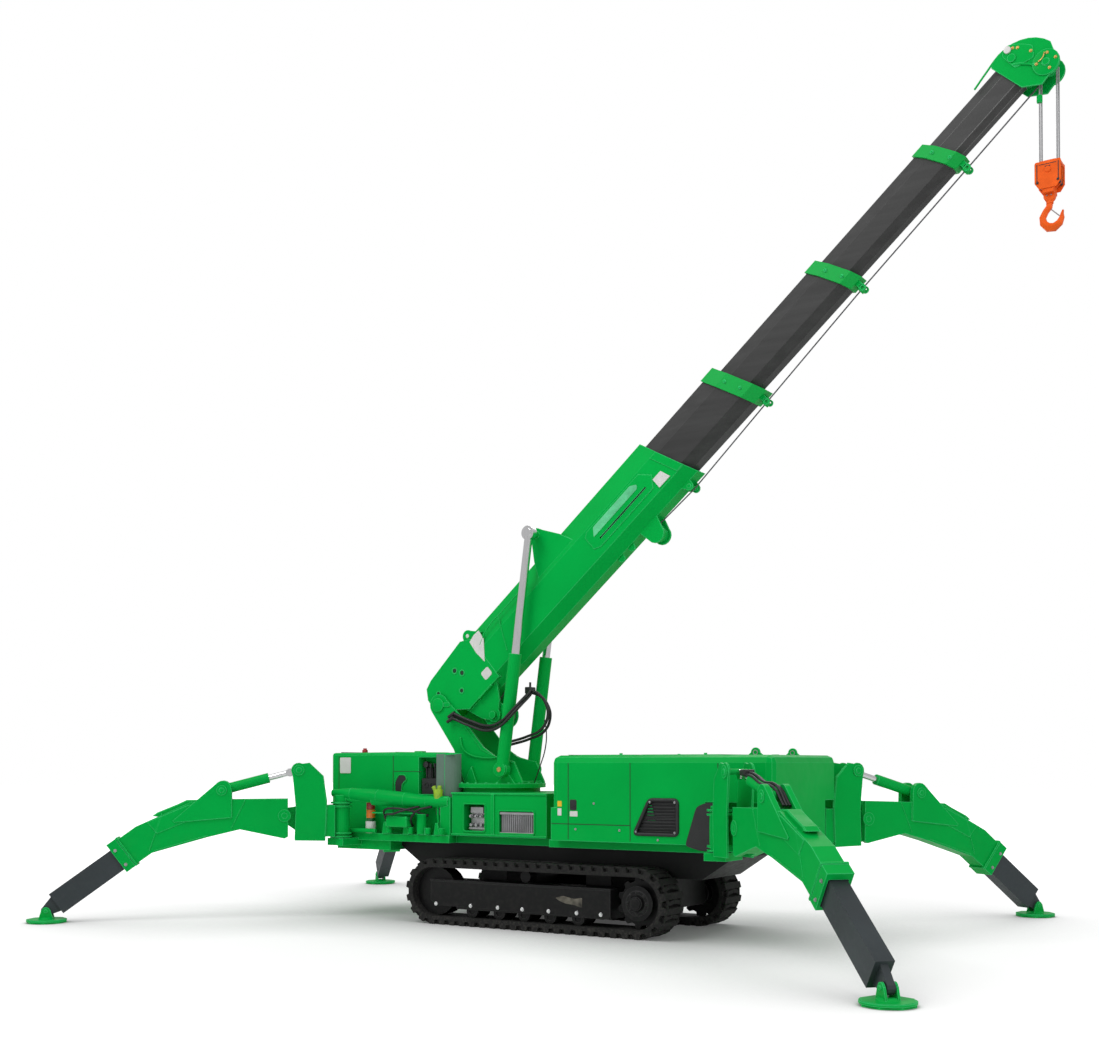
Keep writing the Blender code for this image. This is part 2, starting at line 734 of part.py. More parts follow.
def swing_post(x, side):
    y = side * POST_Y
    low, high = sides_of(side, POST_FOOT_ROOT, POST_Y + POST_FOOT_RIM)
    foot = box((x - POST_FOOT_X, low, POST_BOTTOM), (x + POST_FOOT_X, high, SLEEVE_Z[0] - SLEEVE_GAP))
    post = rod((x, y, POST_BOTTOM + WEB_INSET), (x, y, POST_TOP), POST_RADIUS)
    top = BRACE_Z + BRACE_CAP_RISE if x < 0 else POST_TOP + POST_CAP_RISE
    cap = rod((x, y, SLEEVE_Z[1] + SLEEVE_GAP), (x, y, top), POST_CAP_RADIUS)
    return [foot, post, cap]


def post_brace(x, side):
    start = Vector((x, side * POST_Y, BRACE_Z))
    end = Vector((x + BRACE_RUN, side * BRACE_END_Y, BRACE_Z - BRACE_DROP))
    bend = start.lerp(end, BRACE_BEND)
    thin, thick = BRACE_RADII
    foot = box((end.x + BRACE_FOOT_X[0], end.y - BRACE_FOOT_Y, DECK_TOP - JOIN / 2),
               (end.x + BRACE_FOOT_X[1], end.y + BRACE_FOOT_Y, end.z + BRACE_FOOT_RISE))
    return [rod(start, end, thin), rod(bend, end, thick), foot]


def recess_box(recess, face):
    left, right, bottom, top = recess
    return box((left, face - JOIN, bottom), (right, face + RECESS_DEPTH, top))


def build_turntable_base():
    left, right = TURRET_BASE_X
    face = -TURRET_BASE_Y
    solid = box((left, face, DECK_TOP + SEAT), (right, TURRET_BASE_Y, TURRET_BASE_TOP))
    pockets = [recess_box(VALVE_RECESS, face), recess_box(COOLER_RECESS, face)]
    part("turntable_base", GREEN_PAINT, [solid], pockets)
    valve = box((VALVE_X[0], face + VALVE_SINK, VALVE_RECESS[2] + SEAT),
                (VALVE_X[1], face + RECESS_DEPTH - SEAT, VALVE_TOP))
    spools = [rod((x, face + SPOOL_Y[0], SPOOL_Z), (x, face + SPOOL_Y[1], SPOOL_Z), SPOOL_RADIUS,
                  sides=SMALL_SIDES) for x in SPOOL_X]
    part("valve_block", STEEL_PAINT, [valve, *spools])
    core = box((COOLER_X[0], face + COOLER_Y[0], COOLER_RECESS[2] + SEAT),
               (COOLER_X[1], face + COOLER_Y[1], COOLER_TOP))
    fins = []
    for index in range(FIN_COUNT):
        x = COOLER_X[0] + FIN_PITCH * (index + 0.5)
        fins.append(box((x, face + FIN_Y[0], FIN_Z[0]), (x + FIN_THICKNESS, face + FIN_Y[1], FIN_Z[1])))
    part("oil_cooler", STEEL_PAINT, [core, *fins])


def grille_outline(lap):
    left, right = GRILLE_X
    low, high = GRILLE_Z
    slant = lap / cos(atan2(GRILLE_LEAN, high - low))
    return [(left - slant, low - lap), (right + lap, low - lap), (right + lap, high + lap),
            (left + GRILLE_LEAN - slant, high + lap)]


def build_hood():
    left, right = HOOD_X
    low = DECK_TOP + SEAT
    solid = box((left, -HOOD_HALF_Y, low), (right, HOOD_HALF_Y, HOOD_TOP), soft=HOOD_CORNER)
    sill = box((left, -HOOD_HALF_Y, low), (right, HOOD_HALF_Y, HOOD_SILL))
    inside = HOOD_HALF_Y - HOOD_WALL
    hollow = box((left + HOOD_WALL, -inside, low - JOIN), (HOOD_HOLLOW_END, inside, HOOD_TOP - HOOD_ROOF))
    cuts = [hollow, slab(grille_outline(0.0), -HOOD_HALF_Y - JOIN, -inside + JOIN)]
    for side, start in NOTCHES:
        near, far = sides_of(side, HOOD_HALF_Y - NOTCH_DEPTH, HOOD_HALF_Y + THROUGH)
        cuts.append(box((start, near, low - THROUGH), (right + THROUGH, far, NOTCH_TOP)))
    part("engine_hood", GREEN_PAINT, [solid, sill], cuts)
    engine = box((ENGINE_X[0], -ENGINE_HALF_Y, low), (ENGINE_X[1], ENGINE_HALF_Y, ENGINE_TOP), soft=JOIN)
    part("engine", STEEL_PAINT, [engine])


def build_grille():
    inside = -HOOD_HALF_Y + HOOD_WALL
    panel = slab(grille_outline(GRILLE_LAP), inside + SEAT, inside + GRILLE_PLATE)
    (left, low), (right, _), _, (top_left, high) = grille_outline(0.0)
    bars = []
    pitch = (high - low) / (GRILLE_BARS + 0.5)
    for index in range(GRILLE_BARS):
        z = low + pitch * (index + 0.35)
        lean = (z + pitch / 2 - low) / (high - low) * (top_left - left)
        bars.append(box((left + lean + SLEEVE_GAP, inside - GRILLE_PROUD, z),
                        (right - SLEEVE_GAP, inside + GRILLE_ROOT, z + pitch * 0.4)))
    part("grille", BLACK_PAINT, [panel, *bars])


def build_cover():
    left, right = COVER_X
    half = COVER_HALF_Y
    turn, back = COVER_CORNER
    plan = [
        (left, back - half), (left + turn, -half), (right, -half), (right, WELL_MOUTH - half),
        (WELL_X, -WELL_HALF_Y), (WELL_X, WELL_HALF_Y), (right, half - WELL_MOUTH), (right, half),
        (left + turn, half), (left, half - back),
    ]
    solid = soften(slab(plan, DECK_TOP + SEAT, COVER_TOP, plane="XY"), COVER_TOP - OVERLAP, COVER_RIM)
    inside = -half + DESK_DEPTH
    desk = box((DESK_X[0], -half - JOIN, DESK_Z[0]), (DESK_X[1], inside, DESK_Z[1]))
    part("control_cover", GREEN_PAINT, [solid], [desk], smooth=False)
    console = box((CONSOLE_X[0], -half + CONSOLE_SINK, DESK_Z[0] + SEAT),
                  (CONSOLE_X[1], inside - SEAT, CONSOLE_TOP))
    foot, head, top = (-half + sink for sink in LEVER_SINK)
    root, knob, neck, crown = LEVER_Z
    handles = []
    for x in LEVER_X:
        handles.append(rod((x, foot, root), (x, head, neck), LEVER_RADIUS, sides=SMALL_SIDES))
        handles.append(rod((x, head, knob), (x, top, crown), KNOB_RADIUS, sides=SMALL_SIDES))
    part("control_console", BLACK_PAINT, [console, *handles])


def build_lamp():
    rings = [rod((LAMP_X, -LAMP_Y, low), (LAMP_X, -LAMP_Y, high), radius, tip=tip)
             for low, high, radius, tip in LAMP_RINGS]
    part("lamp_tower", RED_PAINT, rings)


# Turret and boom

def build_turret():
    frame = Matrix.Translation((TURRET_X, 0, 0))
    low = TURRET_BASE_TOP + SEAT
    ring = rod((0, 0, low), (0, 0, RING_TOP), RING_RADIUS, frame, sides=LARGE_SIDES)
    table = rod((0, 0, RING_TOP - OVERLAP), (0, 0, TABLE_TOP), TABLE_RADIUS, frame, sides=LARGE_SIDES)
    x, z = FOOT_PIN[0] - TURRET_X, FOOT_PIN[1]
    crown = arc((x, z), FOOT_CROWN, SMALL_SIDES, FOOT_CROWN_ARC)
    cheek = [CHEEK_TOE, *CHEEK_FRONT, *crown, *CHEEK_REAR]
    solids = [ring, table]
    pin_x, pin_z = LUFF_PIN[0] - TURRET_X, LUFF_PIN[1]
    for side in (-1, 1):
        solids.append(slab(cheek, *sides_of(side, *CHEEK_Y), frame))
        near, far = sides_of(side, CHEEK_Y[1] - OVERLAP, LUFF_Y + LUFF_CAP[2])
        solids.append(rod((pin_x, near, pin_z), (pin_x, far, pin_z), LUFF_BOLT, frame))
    span = CHEEK_Y[0] + OVERLAP
    solids.append(slab(TURRET_BACK, -span, span, frame))
    solids.append(box((TURRET_FRONT[0], -span, RING_TOP), (TURRET_FRONT[1], span, TURRET_FRONT[2]), frame))
    reach = CHEEK_Y[1] + LUFF_HEAD_GAP
    solids.append(rod((x, -reach, z), (x, reach, z), FOOT_BOLT, frame))
    part("turret", GREEN_PAINT, solids)


def boom_frame():
    return (Matrix.Translation((FOOT_PIN[0], 0, FOOT_PIN[1]))
            @ Matrix.Rotation(-radians(ELEVATION), 4, "Y"))


def profile(height, width):
    half = width / 2
    flat = half * PROFILE_FLAT
    belly, hip = PROFILE_BELLY * height, PROFILE_HIP * height
    shoulder, top = PROFILE_SHOULDER * height, PROFILE_TOP * height
    return [
        (-flat, belly), (flat, belly), (half, hip), (half, shoulder),
        (flat, top), (-flat, top), (-half, shoulder), (-half, hip),
    ]


def section_sizes():
    """Height and width of each telescoping section, from the base's less the steps between them."""
    height, width = BASE_HEIGHT, BASE_WIDTH
    sizes = []
    for name, less_high, less_wide, inner, tip, collar in SECTIONS:
        height -= less_high
        width -= less_wide
        sizes.append((height, width))
    return sizes


def shell(height, width, start, end, frame, slant):
    grow = tan(radians(SLANT)) if slant else 0.0
    return slab(profile(height, width), start, end, frame, plane="YZ", shear=grow)


def capped(points, centre, radius, span):
    """An outline whose last side is broken by an arc, set in ahead of its last point."""
    return [*points[:-1], *arc(centre, radius, BROAD_STEPS, span), points[-1]]


def build_boom_base():
    frame = boom_frame()
    half = BASE_WIDTH / 2
    tube = shell(BASE_HEIGHT, BASE_WIDTH, BASE_START, BASE_END, frame, True)
    heel = arc((0, 0), BASE_HEEL, SMALL_SIDES, BASE_HEEL_ARC)
    cheek = [*BASE_CHEEK_TOP, *heel, *BASE_CHEEK_BOTTOM]
    solids = [tube, slab(cheek, -half - BASE_CHEEK_PROUD, half + BASE_CHEEK_PROUD, frame)]
    eye_x, eye_z = LUFF_EYE
    ear = capped([(eye_x + x, z) for x, z in LUFF_EAR], LUFF_EYE, LUFF_EAR_ROUND, EYE_ARC)
    winch_x, winch_z = WINCH
    hanger = capped(WINCH_CHEEK, WINCH, WINCH_CHEEK_ROUND, WINCH_ARC)
    for side in (-1, 1):
        solids.append(slab(ear, *sides_of(side, *LUFF_EAR_Y), frame))
        solids.append(slab(hanger, *sides_of(side, *WINCH_CHEEK_Y), frame))
    solids.append(rod((eye_x, -LUFF_EYE_REACH, eye_z), (eye_x, LUFF_EYE_REACH, eye_z), LUFF_EYE_BOLT, frame))
    wheel_x, wheel_z, wheel_radius, wheel_half = ROPE_WHEEL
    long, wide, low = ROPE_BRACKET
    belly = PROFILE_BELLY * BASE_HEIGHT
    solids.append(box((wheel_x - long, -wide, wheel_z - low), (wheel_x + long, wide, belly + JOIN), frame))
    solids.append(rod((wheel_x, -wheel_half, wheel_z), (wheel_x, wheel_half, wheel_z), wheel_radius, frame))
    height, width = section_sizes()[0]
    bore = slab(profile(height + 2 * SECTION_GAP, width + 2 * SECTION_GAP), BASE_START - BORE_LEAD,
                BASE_END + height, frame, plane="YZ")
    back, front, wide, thick = BASE_WEAR_PAD
    top = PROFILE_BELLY * height - PIN_FIT
    pad = box((BASE_END - back, -wide, top - thick), (BASE_END - front, wide, top), frame)
    reach = half + THROUGH
    pin = rod((0, -reach, 0), (0, reach, 0), FOOT_BOLT + PIN_FIT, frame)
    seat = rod((winch_x, -reach, winch_z), (winch_x, reach, winch_z), WINCH_SHAFT, frame)
    part("boom_base", GREEN_PAINT, solids, [bore, pin, seat], [pad])


def build_winch():
    frame = boom_frame()
    x, z = WINCH
    drum = rod((x, -DRUM_HALF, z), (x, DRUM_HALF, z), DRUM_RADIUS, frame)
    shaft = rod((x, -WINCH_SHAFT_HALF, z), (x, WINCH_SHAFT_HALF, z), WINCH_SHAFT - PIN_FIT, frame,
                sides=WIDE_SIDES)
    radius, middle, thick = DRUM_RIM
    rims = [rod((x, y - thick, z), (x, y + thick, z), radius, frame) for y in (-middle, middle)]
    part("winch_drum", GREEN_PAINT, [drum, shaft, *rims])


def build_sections():
    frame = boom_frame()
    lean = tan(radians(SLANT))
    sizes = section_sizes()
    for index, (name, less_high, less_wide, inner, tip, collar) in enumerate(SECTIONS):
        height, width = sizes[index]
        solids, cuts, pins = [shell(height, width, inner, tip, frame, False)], [], []
        if index + 1 < len(SECTIONS):
            tall, wide = height + COLLAR_WALL[0], width + COLLAR_WALL[1]
            solids.append(shell(tall, wide, tip - collar, tip, frame, True))
            beyond = [(tip, height), (tip + height, height), (tip + height, -height), (tip, -height)]
            cuts.append(slab(beyond, -width, width, frame, shear=lean))
            inner_height, inner_width = sizes[index + 1]
            cuts.append(slab(profile(inner_height + 2 * SECTION_GAP, inner_width + 2 * SECTION_GAP),
                             inner - THROUGH, tip + height, frame, plane="YZ"))
            length, front, wide, thick = WEAR_PAD
            top = PROFILE_BELLY * inner_height - PIN_FIT
            pins.append(box((tip - front - length, -wide, top - thick), (tip - front, wide, top), frame))
            guide = (0, -height / 2 - GUIDE_DROP)
            guide_x = tip - collar / 2 + lean * height / 2
            ring, eye = (disc(guide, radius, SMALL_SIDES) for radius in GUIDE_RADII)
            pins.append(slab(ring, guide_x - GUIDE_HALF, guide_x + GUIDE_HALF, frame, plane="YZ",
                             holes=(eye,)))
            half, root, gap = GUIDE_STEM
            pins.append(box((guide_x - half, -half, guide[1] + root),
                            (guide_x + half, half, -height / 2 - gap), frame))
        part(name, BOOM_PAINT, solids, cuts, pins, smooth=False)


def head_centre():
    return boom_frame() @ Vector((HEAD_PIN[0], 0, HEAD_PIN[1]))


def build_head():
    frame = boom_frame()
    tip = SECTIONS[-1][4]
    height, width = section_sizes()[-1]
    pin_x, pin_z = HEAD_PIN
    middle = (tip + HEAD_CROWN[0], HEAD_CROWN[1])
    radius = height / 2 + HEAD_RISE - HEAD_CROWN[1]
    hood = [
        (tip - HEAD_BACK[0], height / 2 + HEAD_BACK[1]), (tip - HEAD_KEEL[0], -height / 2 - HEAD_KEEL[1]),
        (tip + HEAD_THROAT[0], pin_z - HEAD_THROAT[1]),
        *arc(HEAD_PIN, HEAD_LIP, HEAD_LIP_STEPS, HEAD_LIP_ARC),
        *arc(middle, radius, BROAD_STEPS, HEAD_CROWN_ARC),
    ]
    solids = []
    cheek = width / 2 + SEAT
    for side in (-1, 1):
        solids.append(slab(hood, *sides_of(side, cheek, cheek + HEAD_WALL), frame))
    span = cheek + OVERLAP
    solids.append(slab([(tip + x, z) for x, z in HEAD_STOP], -span, span, frame))
    outer, inner = (radius - sink for sink in HEAD_ROOF)
    low, high = HEAD_ROOF_ARC
    roof = [*arc(middle, outer, EYE_STEPS, (low, high)), *arc(middle, inner, EYE_STEPS, (high, low))]
    solids.append(slab(roof, -span, span, frame))
    bolt, reach = HEAD_PIN_BOLT
    solids.append(rod((pin_x, -reach, pin_z), (pin_x, reach, pin_z), bolt, frame))
    ahead, up, bolt, reach = HEAD_IDLER
    solids.append(rod((tip + ahead, -reach, up), (tip + ahead, reach, up), bolt, frame))
    for y in (-FALL_Y, FALL_Y):
        start, end = (pin_x, y - SHEAVE_HALF, pin_z), (pin_x, y + SHEAVE_HALF, pin_z)
        solids.append(rod(start, end, SHEAVE_RADIUS, frame))
    part("boom_head", GREEN_PAINT, solids)


def fall_route(top, bottom):
    route = []
    steps = BOW_STEPS

    def bow(side, y0, y1, z, sign):
        for i in range(steps + 1):
            angle = pi * i / steps
            along = i / steps
            route.append((side * FALL_X * cos(angle), y0 + (y1 - y0) * along, z + sign * FALL_X * sin(angle)))

    route.append((-FALL_X, -FALL_Y, top))
    bow(-1, -FALL_Y, -FALL_Y, bottom, -1)
    bow(1, -FALL_Y, FALL_Y, top, 1)
    bow(-1, FALL_Y, FALL_Y, bottom, -1)
    route.append((FALL_X, FALL_Y, top))
    return route


def build_hook():
    frame = Matrix.Translation(head_centre())
    falls = pipe(fall_route(0.0, -HOOK_DROP), ROPE_RADIUS, frame, 1)
    part("hoist_rope", CHROME_PAINT, [falls])
    place = frame @ Matrix.Translation((0, 0, -HOOK_DROP))
    wall = BLOCK_WALL / 2
    solids = [slab(BLOCK_CHEEK, y - wall, y + wall, place) for y in BLOCK_CHEEK_Y]
    for y in (-FALL_Y, FALL_Y):
        solids.append(rod((0, y - SHEAVE_HALF, 0), (0, y + SHEAVE_HALF, 0), SHEAVE_RADIUS, place))
    radius, reach = BLOCK_PIN
    solids.append(rod((0, -reach, 0), (0, reach, 0), radius, place))
    long, wide, low, high = BLOCK_FOOT
    solids.append(box((-long, -wide, -low), (long, wide, -high), place))
    part("hook_block", ORANGE_PAINT, solids)
    swivel = place @ Matrix.Translation((0, 0, -low - SEAT))
    radius, drop = SHANK
    part("hook", ORANGE_PAINT, [rod((0, 0, -drop), (0, 0, 0), radius, swivel), horn(CLAW, swivel)])


def eye_place():
    return boom_frame() @ Vector((LUFF_EYE[0], 0, LUFF_EYE[1]))


def luff_frame(side):
    base = Vector((LUFF_PIN[0], side * LUFF_Y, LUFF_PIN[1]))
    eye = eye_place()
    lean = atan2(eye.x - base.x, eye.z - base.z)
    length = hypot(eye.x - base.x, eye.z - base.z)
    return Matrix.Translation(base) @ Matrix.Rotation(lean, 4, "Y"), length


def build_luff(name, side):
    frame, length = luff_frame(side)
    radius, half = LUFF_FOOT
    barrel = rod((0, 0, JOIN), (0, 0, LUFF_MOUTH), LUFF_BARREL, frame)
    foot = rod((0, -half, 0), (0, half, 0), radius, frame)
    bore = rod((0, 0, LUFF_BORE_START), (0, 0, LUFF_MOUTH + JOIN), LUFF_ROD + PIN_FIT, frame)
    hole = rod((0, -THROUGH, 0), (0, THROUGH, 0), LUFF_BOLT + PIN_FIT, frame)
    part(name + "_luff_barrel", GREEN_PAINT, [barrel, foot], [bore, hole])
    radius, half = LUFF_HEAD
    shaft = rod((0, 0, LUFF_PISTON), (0, 0, length - JOIN), LUFF_ROD, frame)
    eye = rod((0, -half, length), (0, half, length), radius, frame)
    radius, near, far = LUFF_CAP
    cap = rod((0, near * side, length), (0, far * side, length), radius, frame)
    part(name + "_luff_rod", CHROME_PAINT, [shaft, eye, cap])


# Outriggers

def leg_frames(post_x, side, heading, extension):
    turn = Matrix.Rotation(radians(heading), 4, "Z")
    reach = ANKLE + extension
    lift = leg_lift(extension)[0]
    swing = Matrix.Translation((post_x, side * POST_Y, 0)) @ turn
    arm = swing @ Matrix.Translation((ARM_PIVOT[0], 0, ARM_PIVOT[1])) @ Matrix.Rotation(-lift, 4, "Y")
    mouth = Matrix.Translation((ARM_MOUTH[0], 0, ARM_MOUTH[1]))
    slide = arm @ mouth @ Matrix.Rotation(radians(LEG_SLOPE), 4, "Y")
    pad = Matrix.Translation(slide @ Vector((reach, 0, 0))) @ turn
    ear = arm @ Vector((EAR_PIN[0], 0, EAR_PIN[1]))
    start = swing.inverted() @ ear
    run, rise = BRACKET_PIN[0] - start.x, BRACKET_PIN[1] - start.z
    jack = Matrix.Translation(ear) @ turn @ Matrix.Rotation(atan2(run, rise), 4, "Y")
    return {"swing": swing, "arm": arm, "slide": slide, "pad": pad, "jack": jack,
            "jack_length": hypot(run, rise), "lift": lift}


def build_bracket(name, frame):
    pivot_x, pivot_z = ARM_PIVOT
    pin_x, pin_z = BRACKET_PIN
    bottom, top = SLEEVE_Z
    sleeve = rod((0, 0, bottom), (0, 0, top), SLEEVE_RADIUS, frame)
    nose = reversed(arc(ARM_PIVOT, TONGUE_ROUND, BROAD_STEPS, HALF_ARC))
    below, above, crest = TONGUE_REACH
    neck = pivot_x - TONGUE_NECK
    tongue = [
        (TONGUE_ROOT, pivot_z - below), (TONGUE_ROOT, pivot_z + above), (neck, pivot_z + crest),
        *nose, (neck, pivot_z - below),
    ]
    solids = [sleeve, slab(tongue, -TONGUE_HALF, TONGUE_HALF, frame)]
    crown = arc(BRACKET_PIN, BRACKET_ROUND, EYE_STEPS, BRACKET_ARC)
    plate = [*BRACKET_OUTLINE, *crown, *BRACKET_BACK]
    span = ARM_HALF_Y + SIDE_FIT
    for side in (-1, 1):
        solids.append(slab(plate, *sides_of(side, span, span + BRACKET_WALL), frame))
    span += OVERLAP
    near, far = WEB_X
    low, high = bottom + WEB_INSET, top - WEB_INSET
    solids.append(slab([(near, low), (far, low), (far, high), (near, high)], -span, span, frame))
    solids.append(rod((pin_x, -span, pin_z), (pin_x, span, pin_z), BRACKET_BOLT, frame))
    bore = rod((0, 0, bottom - THROUGH), (0, 0, BRACKET_PIN[1]), POST_RADIUS + PIN_FIT, frame)
    hole = rod((pivot_x, -THROUGH, pivot_z), (pivot_x, THROUGH, pivot_z), ARM_PIN + PIN_FIT, frame)
    part(name + "_bracket", GREEN_PAINT, solids, [bore, hole])


def build_arm(name, frame):
    web = slab(ARM_OUTLINE, -ARM_HALF_Y, ARM_HALF_Y, frame)
    mouth = (frame @ Matrix.Translation((ARM_MOUTH[0], 0, ARM_MOUTH[1]))
             @ Matrix.Rotation(radians(LEG_SLOPE), 4, "Y"))
    deep = LEG_DEPTH / 2 + ARM_COLLAR_WALL[0]
    wide = LEG_WIDTH / 2 + ARM_COLLAR_WALL[1]
    collar = box((-ARM_COLLAR_LENGTH, -wide, -deep), (0, wide, deep + ARM_COLLAR_CREST), mouth)
    solids = [web, collar]
    ear_x, ear_z = EAR_PIN
    heel = ear_x - EAR_BACK
    crown = reversed(arc((ear_x - WEB_INSET, ear_z + WEB_INSET), EAR_ROUND, EYE_STEPS, EAR_ARC))
    ear = [(heel, -WEB_INSET), (heel, ear_z), *crown, *EAR_TOE]
    for side in (-1, 1):
        solids.append(slab(ear, *sides_of(side, *EAR_Y), frame))
    reach = ARM_HALF_Y - OVERLAP
    span = EAR_Y[0] + 2 * OVERLAP
    pins = [rod((0, -reach, 0), (0, reach, 0), ARM_PIN, frame),
            rod((ear_x, -span, ear_z), (ear_x, span, ear_z), EAR_BOLT, frame)]
    wide = LEG_WIDTH / 2 + SLIDE_FIT
    deep = LEG_DEPTH / 2 + SLIDE_FIT
    slot = box((-SLOT_DEPTH, -wide, -deep), (THROUGH / 2, wide, deep), mouth)
    length, front, wide, thick = LEG_WEAR_PAD
    top = -LEG_DEPTH / 2 - PIN_FIT
    pins.append(box((-length, -wide, -LEG_DEPTH / 2 - thick), (-front, wide, top), mouth))
    half = TONGUE_HALF + SIDE_FIT
    fork = box((-FORK_SWEEP, -half, -FORK_CUT), (FORK_SWEEP, half, FORK_CUT), frame)
    part(name + "_arm", GREEN_PAINT, solids, [fork, slot], pins)


def build_inner_leg(name, frame, extension):
    wide, deep = LEG_WIDTH / 2, LEG_DEPTH / 2
    beam = box((-LEG_INSIDE + extension, -wide, -deep), (LEG_OUTSIDE + extension, wide, deep), frame)
    at = ANKLE + extension
    back, tall, radius, half = LEG_TONGUE
    nose = arc((at, 0), radius, EYE_STEPS, HALF_ARC)
    tongue = slab([(at - back, tall), (at - back, -tall), *nose], -half, half, frame)
    hole = rod((at, -THROUGH, 0), (at, THROUGH, 0), PAD_BOLT + PIN_FIT, frame)
    part(name + "_leg", LEG_PAINT, [beam, tongue], [hole])


def build_pad(name, frame):
    solids = [rod((0, 0, -ANKLE_Z), (0, 0, PAD_THICKNESS - ANKLE_Z), PAD_RADIUS, frame, sides=PAD_SIDES)]
    foot, sink, waist, neck, crown = PAD_EAR
    near = LEG_TONGUE[3] + SIDE_FIT
    low = sink - ANKLE_Z
    top = arc((0, 0), crown, EYE_STEPS, EYE_ARC)
    ear = [(-foot, low), (foot, low), (waist, neck), *top, (-waist, neck)]
    for side in (-1, 1):
        solids.append(slab(ear, *sides_of(side, near, near + PAD_EAR_WALL), frame))
    reach = near + PAD_EAR_WALL + SIDE_FIT
    solids.append(rod((0, -reach, 0), (0, reach, 0), PAD_BOLT, frame))
    part(name + "_pad", GREEN_PAINT, solids)


def build_jack(name, frame, length):
    barrel = rod((0, 0, JOIN), (0, 0, JACK_MOUTH), JACK_BARREL, frame)
    foot = rod((0, -JACK_FOOT_HALF, 0), (0, JACK_FOOT_HALF, 0), JACK_FOOT, frame)
    bore = rod((0, 0, JACK_BORE_START), (0, 0, JACK_MOUTH + JOIN), JACK_ROD + PIN_FIT, frame)
    hole = rod((0, -THROUGH, 0), (0, THROUGH, 0), EAR_BOLT + PIN_FIT, frame)
    part(name + "_jack_barrel", GREEN_PAINT, [barrel, foot], [bore, hole])
    eye_z = length - JACK_EYE_BACK
    shaft = rod((0, 0, length - JACK_STROKE_ROOM), (0, 0, length - JACK_ROD_BACK), JACK_ROD, frame)
    eye = rod((0, -TONGUE_HALF, eye_z), (0, TONGUE_HALF, eye_z), JACK_EYE, frame)
    part(name + "_jack_rod", CHROME_PAINT, [shaft, eye])


def build_leg(name, post_x, side, heading, extension):
    frames = leg_frames(post_x, side, heading, extension)
    build_bracket(name, frames["swing"])
    build_arm(name, frames["arm"])
    build_inner_leg(name, frames["slide"], extension)
    build_pad(name, frames["pad"])
    build_jack(name, frames["jack"], frames["jack_length"])


clear_scene()
PARTS = new_collection("spider_crane", False)
TOOLS = new_collection("cutters", True)
GREEN_PAINT = paint("green paint", GREEN, 0.30, 0.0)
BLACK_PAINT = paint("black paint", BLACK, 0.45, 0.0)
RUBBER_PAINT = paint("rubber", RUBBER, 0.80, 0.0)
BOOM_PAINT = paint("boom grey", BOOM_GREY, 0.40, 0.1)
LEG_PAINT = paint("leg grey", LEG_GREY, 0.45, 0.1)
STEEL_PAINT = paint("bare steel", STEEL, 0.40, 0.8)
CHROME_PAINT = paint("chrome", CHROME, 0.15, 1.0)
ORANGE_PAINT = paint("orange paint", ORANGE, 0.35, 0.0)
RED_PAINT = paint("red lens", RED, 0.20, 0.0)
for label, sign in (("near", -1), ("far", 1)):
    build_track(label, sign)
    build_track_frame(label, sign)
    build_sprocket(label, sign)
    build_luff(label, sign)
build_chassis()
build_deck()
build_turntable_base()
build_hood()
build_grille()
build_cover()
build_lamp()
build_turret()
build_boom_base()
build_winch()
build_sections()
build_head()
build_hook()
for row in LEGS:
    build_leg(*row)
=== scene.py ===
"""Dresses the spider crane: paint, panels, hoses, ropes, bolts and a plain studio."""
import json
from math import cos, pi, radians, sin

import bpy
from mathutils import Matrix, Vector


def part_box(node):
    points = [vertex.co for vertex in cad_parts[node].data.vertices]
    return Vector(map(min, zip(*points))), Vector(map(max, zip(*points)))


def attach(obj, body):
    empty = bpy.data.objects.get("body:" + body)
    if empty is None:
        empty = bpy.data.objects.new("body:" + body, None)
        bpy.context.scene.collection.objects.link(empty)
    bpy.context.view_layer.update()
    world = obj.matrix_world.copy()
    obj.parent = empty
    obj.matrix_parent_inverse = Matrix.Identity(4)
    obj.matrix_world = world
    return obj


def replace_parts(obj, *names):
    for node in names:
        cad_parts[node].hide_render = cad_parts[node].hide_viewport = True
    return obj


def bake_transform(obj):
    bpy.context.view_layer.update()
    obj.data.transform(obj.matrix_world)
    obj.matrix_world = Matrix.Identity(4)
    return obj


bl_info = {
    "name": "Spider Crane Finish",
    "version": (1, 0, 0),
    "blender": (4, 5, 0),
    "location": "View3D > Sidebar > Crane",
    "description": "Dresses the solids of a spider crane with its panels, hoses, ropes and finishes",
    "category": "Object",
}

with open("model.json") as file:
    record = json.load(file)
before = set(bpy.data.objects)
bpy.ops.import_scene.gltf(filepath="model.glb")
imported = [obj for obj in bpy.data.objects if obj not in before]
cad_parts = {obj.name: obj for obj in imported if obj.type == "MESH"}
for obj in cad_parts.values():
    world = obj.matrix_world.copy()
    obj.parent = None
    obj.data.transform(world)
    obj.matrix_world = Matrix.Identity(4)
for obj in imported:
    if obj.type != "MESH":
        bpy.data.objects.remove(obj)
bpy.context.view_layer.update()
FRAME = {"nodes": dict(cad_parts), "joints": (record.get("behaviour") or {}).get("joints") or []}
NODES = FRAME["nodes"]
JOINTS = {row["name"]: row for row in FRAME["joints"]}

UP = Vector((0, 0, 1))
ACROSS = Vector((0, 1, 0))
IDENTITY = Matrix.Identity(4)
SIDES = (("near", -1), ("far", 1))
LEG_NAMES = ("near_rear", "far_rear", "near_front", "far_front")
PROUD = 0.0015


# Pieces are modelled about the machine's own middle plane; the frame's origin is the middle of its stance
MIDDLE = Matrix.Translation((0, JOINTS["slew"]["pos_m"][1], 0))


def joint_place(name):
    return MIDDLE.inverted() @ Vector(JOINTS[name]["pos_m"])


